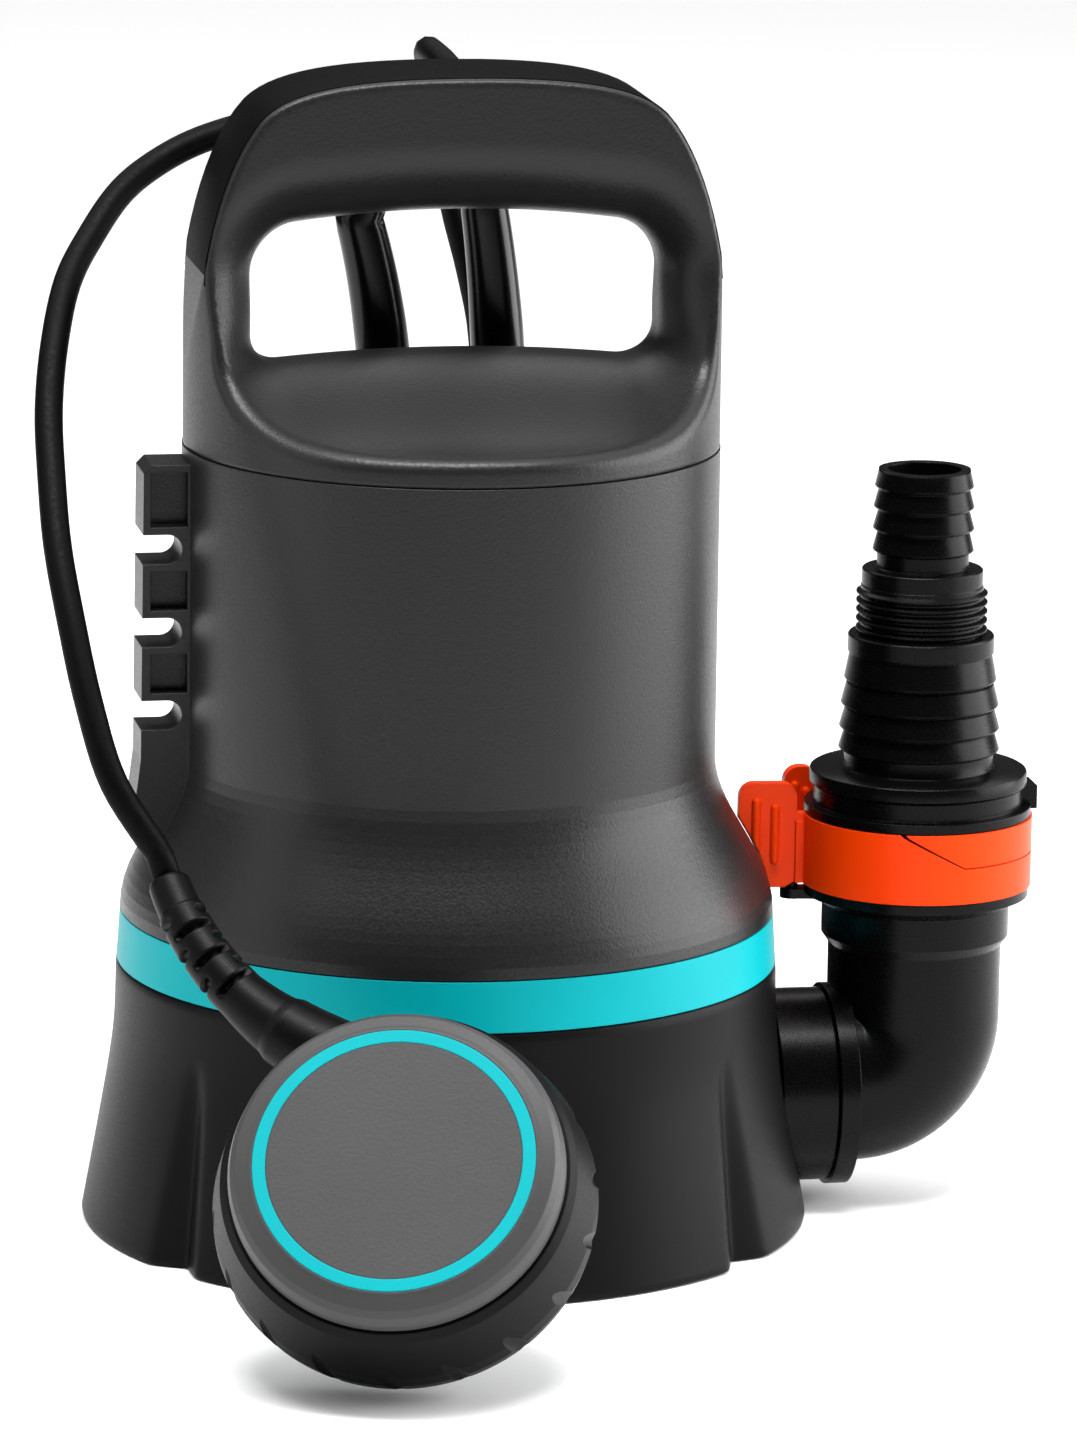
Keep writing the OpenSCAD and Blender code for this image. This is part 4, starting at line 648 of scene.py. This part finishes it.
nozzle = turned("nozzle", seat + flange + wide_tail + thread + slim_tail + bore, 192, nozzle_x)
dress(nozzle, black_plastic)
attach(nozzle, "nozzle")
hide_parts("hose_nozzle")


# ---------------------------------------------------------------- Lock ring
# Two halves of orange acetal, one fixed on the elbow's collar and one on a pin with a thumb
# tab, that close over the nozzle's flange.
# Acetal takes a strong colour and a waxy, even gloss.
orange_plastic = moulded("moulded_orange_acetal", "#f23c00", 0.4, 0.36, 0.03, 0.1)
for name in ("lock_ring", "lock_lever"):
    dress(nodes[name], orange_plastic)


# ---------------------------------------------------------------- Float
# A hollow drum of black polypropylene with finger notches round its rim. Its grey ABS cover
# is welded in, with a turquoise ring let into its face.
# The cover's mould is spark eroded too: an even matt grey with a fine grain.
cover_plastic = moulded("moulded_grey_abs", "#3c3c3d", 0.8, 0.4, 0.06, 0.2, 0.1)
dress(nodes["float_shell"], foot_plastic)
dress(nodes["float_cover"], cover_plastic)
dress(nodes["float_ring"], band_plastic)


# ---------------------------------------------------------------- Boots and plug
# Each boot is a soft bend protector, pushed through the deck and drawn over its cord. It
# leaves the deck upright and bends over with the cord. The plug is moulded onto the lead.
# Soft rubber from a polished mould: deep black, with one long narrow light down its side.
boot_rubber = moulded("moulded_black_rubber", "#030304", 0.3, 0.2, 0.15, 0.25)
dress(nodes["mains_plug"], boot_rubber)

boot_reach, boot_steps, knee_z, knee_part = 58, 22, 24, 0.25
for name, node, foot_at, way, cord_line in (
        ("mains_bend_boot", "mains_boot", mains_foot, mains_way, mains_line),
        ("float_bend_boot", "float_boot", float_foot, float_way, float_line)):
    end = foot_at + boot_l * way
    knee = Vector((foot_at.x + knee_part * (end.x - foot_at.x), foot_at.y, foot_at.z + knee_z))
    line = [foot_at * (1 - t) ** 2 + knee * 2 * t * (1 - t) + end * t * t
            for t in [i / boot_steps for i in range(boot_steps)]]
    walked, i = boot_l, 0
    while walked < boot_reach:
        line.append(cord_line[i] / MM)
        walked += (cord_line[i + 1] - cord_line[i]).length / MM
        i += 1
    at = [length_of(line[:i + 1]) for i in range(len(line))]
    last = at[-1]
    widths = [float(np.interp(d, [0, 14, boot_l, last - 1.2, last - 0.5, last],
                              [6.9, 6.8, 6.0, 5.2, 4.9, 4.2])) * MM for d in at]
    boot = tube(name, [q * MM for q in line], lambda i, j: widths[i], 48, (0, 1, 0))
    dress(boot, boot_rubber)
    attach(boot, "pump")
    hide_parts(node)


# ---------------------------------------------------------------- Float sleeve
# The sleeve is a rubber bend protector, moulded onto the float's cord. It swells into the
# float's rim, and short slots, in turn on its faces and on its sides, let it bend.
float_at, float_turn, float_tilt = Vector((-38.7, -160.8, 57)), 17, 39
to_float = (Matrix.Translation(float_at) @ Matrix.Rotation(radians(-float_turn), 4, "Z")
            @ Matrix.Rotation(radians(90 - float_tilt), 4, "X"))
sleeve_root, sleeve_from, sleeve_to, sleeve_l, mid_z = (-23.4, 36.6), 64.6, 22.7, 60.8, -21
sleeve_in, sleeve_step, sleeve_sides = 9, 0.25, 64
sleeve_bend = sleeve_l / radians(sleeve_from - sleeve_to)
slot_from, slot_pitch, slot_count, slot_w, slot_depth, slot_span = 24, 4.47, 6, 1.2, 2.6, 40


def sleeve_point(s):
    """Middle of the sleeve, s mm from its root, in the float's own directions."""
    h = radians(sleeve_from - (sleeve_from - sleeve_to) * s / sleeve_l)
    h0 = radians(sleeve_from)
    return Vector((sleeve_root[0] + sleeve_bend * (cos(h0) - cos(h)),
                   sleeve_root[1] + sleeve_bend * (sin(h0) - sin(h)), mid_z))


sleeve_at = [-sleeve_in + sleeve_step * i
             for i in range(int((sleeve_l + sleeve_in) / sleeve_step))] + [sleeve_l]


def sleeve_radius(i, j):
    s = sleeve_at[i]
    r = np.interp(s, [-9, 0, 9.6, 10.6, 12, 16, 24, 51, 51.4, 59.6, 60.4, 60.8],
                  [9.4, 9.3, 8.7, 8.4, 7.8, 7.3, 6.4, 5.8, 5.4, 5.1, 4.7, 4])
    k = (s - slot_from) / slot_pitch - 0.5
    nearest = round(k)
    if 0 <= nearest < slot_count:
        turn = (360 * j / sleeve_sides + 90 * (nearest % 2) + 90) % 180 - 90
        across = max(abs(turn) - slot_span, 0) * r * pi / 180
        along = (k - nearest) * slot_pitch
        r -= slot_depth * ramp((slot_w - (across * across + along * along) ** 0.5) / 0.28)
    return float(r) * MM


sleeve = tube("sleeve", [(to_float @ sleeve_point(s)) * MM for s in sleeve_at], sleeve_radius,
              sleeve_sides, to_float.to_3x3() @ Vector((0, 0, 1)))

# The same rubber from a blasted mould: matt, so that the slots read as dark gaps
sleeve_rubber = moulded("moulded_matt_rubber", "#030303", 0.5, 0.42, 0.15, 0.1)
dress(sleeve, sleeve_rubber)
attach(sleeve, "float")
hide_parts("float_sleeve")


# ---------------------------------------------------------------- Seals
# Nitrile rings: the cap's gasket, the shaft's lip seals, and the O-rings of the stub, the
# nozzle and the float. Moulded, with a dull dark grey skin.
seal_rubber = moulded("moulded_nitrile_rubber", "#121212", 0.3, 0.4)
for name in ("cap_gasket", "shaft_seals", "stub_seal", "nozzle_seal", "float_seal"):
    dress(nodes[name], seal_rubber)


# ---------------------------------------------------------------- Electrical parts
# The float's snap switch has a dark red phenolic case with a dry sheen, and the motor's run
# capacitor a white polypropylene can with a soft waxy one. Both are bought in.
switch_case = moulded("moulded_red_phenolic", "#7c1c1a", 0.3, 0.45)
dress(nodes["float_microswitch"], switch_case)
capacitor_case = moulded("moulded_white_polypropylene", "#d6d4cc", 0.4, 0.4)
dress(nodes["run_capacitor"], capacitor_case)


# ---------------------------------------------------------------- Metal parts
# Motor, bearings, screws, plug pins and the float's ball are bare metal, and each keeps the
# marks of how it was made: turning, grinding, drawing, stamping or casting.
def metal(name, colour, rough, grain, stretch=(1, 1, 1)):
    """Bare metal with working marks of this width in mm, drawn out where stretch is small."""
    made, tree = material(name)
    place = add(tree, "TexCoord")
    along = add(tree, "Mapping", {"Vector": place.outputs["Object"]}, Scale=stretch)
    marks = add(tree, "TexNoise", {"Vector": along.outputs["Vector"]}, Scale=1000 / grain,
                Detail=3)
    gloss = add(tree, "MapRange", {"Value": marks.outputs["Fac"]}, From_Min=0.3, From_Max=0.7,
                To_Min=rough - 0.08, To_Max=rough + 0.08)
    bump = add(tree, "Bump", {"Height": marks.outputs["Fac"]}, Strength=0.3,
               Distance=0.00003)
    shader = add(tree, "BsdfPrincipled", {"Roughness": gloss.outputs["Result"],
                                          "Normal": bump.outputs["Normal"]},
                 Base_Color=linear(colour), Metallic=1)
    add(tree, "OutputMaterial", {"Surface": shader.outputs["BSDF"]})
    return made


for names, finish in (
        # Warm light grey, with a soft gleam from the thread roller
        (("cap_screws", "foot_screws", "volute_screws"),
         metal("stainless_screw_steel", "#b9b7b1", 0.3, 0.3)),
        # Dull and slightly cloudy from the die
        (("seal_carrier",), metal("die_cast_aluminium", "#a9abad", 0.5, 0.8)),
        # Long upright streaks from deep drawing
        (("motor_can",), metal("deep_drawn_stainless_steel", "#b4b3b0", 0.3, 0.6, (1, 1, 0.05))),
        # Dark, with the edges of its sheets as level lines
        (("stator_core", "rotor_core"),
         metal("stamped_electrical_steel", "#77787b", 0.45, 0.5, (0.05, 0.05, 1))),
        # Reddish brown, shiny under its enamel
        (("stator_windings",),
         metal("enamelled_copper_wire", "#a4542c", 0.35, 0.8, (1, 1, 0.1))),
        # Nearly a mirror
        (("bearing_outer_races", "bearing_balls", "bearing_inner_races", "float_ball"),
         metal("ground_bearing_steel", "#c0c0c0", 0.18, 0.3)),
        # Bright, with a fine satin from the grinding wheel
        (("motor_shaft",), metal("ground_shaft_steel", "#bcbcba", 0.25, 0.4)),
        # Yellow, with a turned sheen
        (("impeller_nut",), metal("turned_brass", "#c89c4e", 0.3, 0.4)),
        # Smooth, bright and slightly warm
        (("plug_pins",), metal("nickel_plated_brass", "#cfccc4", 0.2, 0.3))):
    for name in names:
        dress(nodes[name], finish)


# ---------------------------------------------------------------- Floor and light
# A matt white studio floor under a large soft ceiling, with a strong softbox on the right,
# a weak one on the left and a small one overhead that picks out the upper edges.
floor_half, floor_z = 8, -0.0003
floor_mesh = bpy.data.meshes.new("studio_floor")
floor_mesh.from_pydata([(x * floor_half, y * floor_half, floor_z)
                        for x, y in ((-1, -1), (1, -1), (1, 1), (-1, 1))], [], [(0, 1, 2, 3)])
studio_floor = to_scene("studio_floor", floor_mesh)
floor_paint, tree = material("matt_white_floor")
shader = add(tree, "BsdfPrincipled", Base_Color=linear("#f4f4f4"), Roughness=0.9)
add(tree, "OutputMaterial", {"Surface": shader.outputs["BSDF"]})
floor_mesh.materials.append(floor_paint)

sky = bpy.data.worlds.new("studio")
sky.use_nodes = True
sky.node_tree.nodes["Background"].inputs["Color"].default_value = linear("#ffffff")
sky.node_tree.nodes["Background"].inputs["Strength"].default_value = 0.06
bpy.context.scene.world = sky


def softbox(name, at, aim, size, power):
    lamp = bpy.data.lights.new(name, "AREA")
    lamp.shape = "RECTANGLE"
    lamp.size, lamp.size_y = size
    lamp.energy = power
    made = to_scene(name, lamp)
    made.location = at
    made.rotation_euler = (Vector(aim) - Vector(at)).to_track_quat("-Z", "Y").to_euler()


softbox("softbox_left", (-1.4, -0.15, 0.6), (0, 0, 0.15), (1.0, 1.2), 5)
softbox("softbox_right", (1.5, -0.2, 0.6), (0, 0, 0.15), (1.5, 1.3), 46)
softbox("softbox_top", (-0.1, -0.3, 1.35), (0, -0.05, 0.1), (1.0, 0.3), 26)
softbox("ceiling", (0, 2.2, 4), (0, 2.2, 0), (8, 8), 330)

bpy.context.scene.view_settings.view_transform = "Standard"
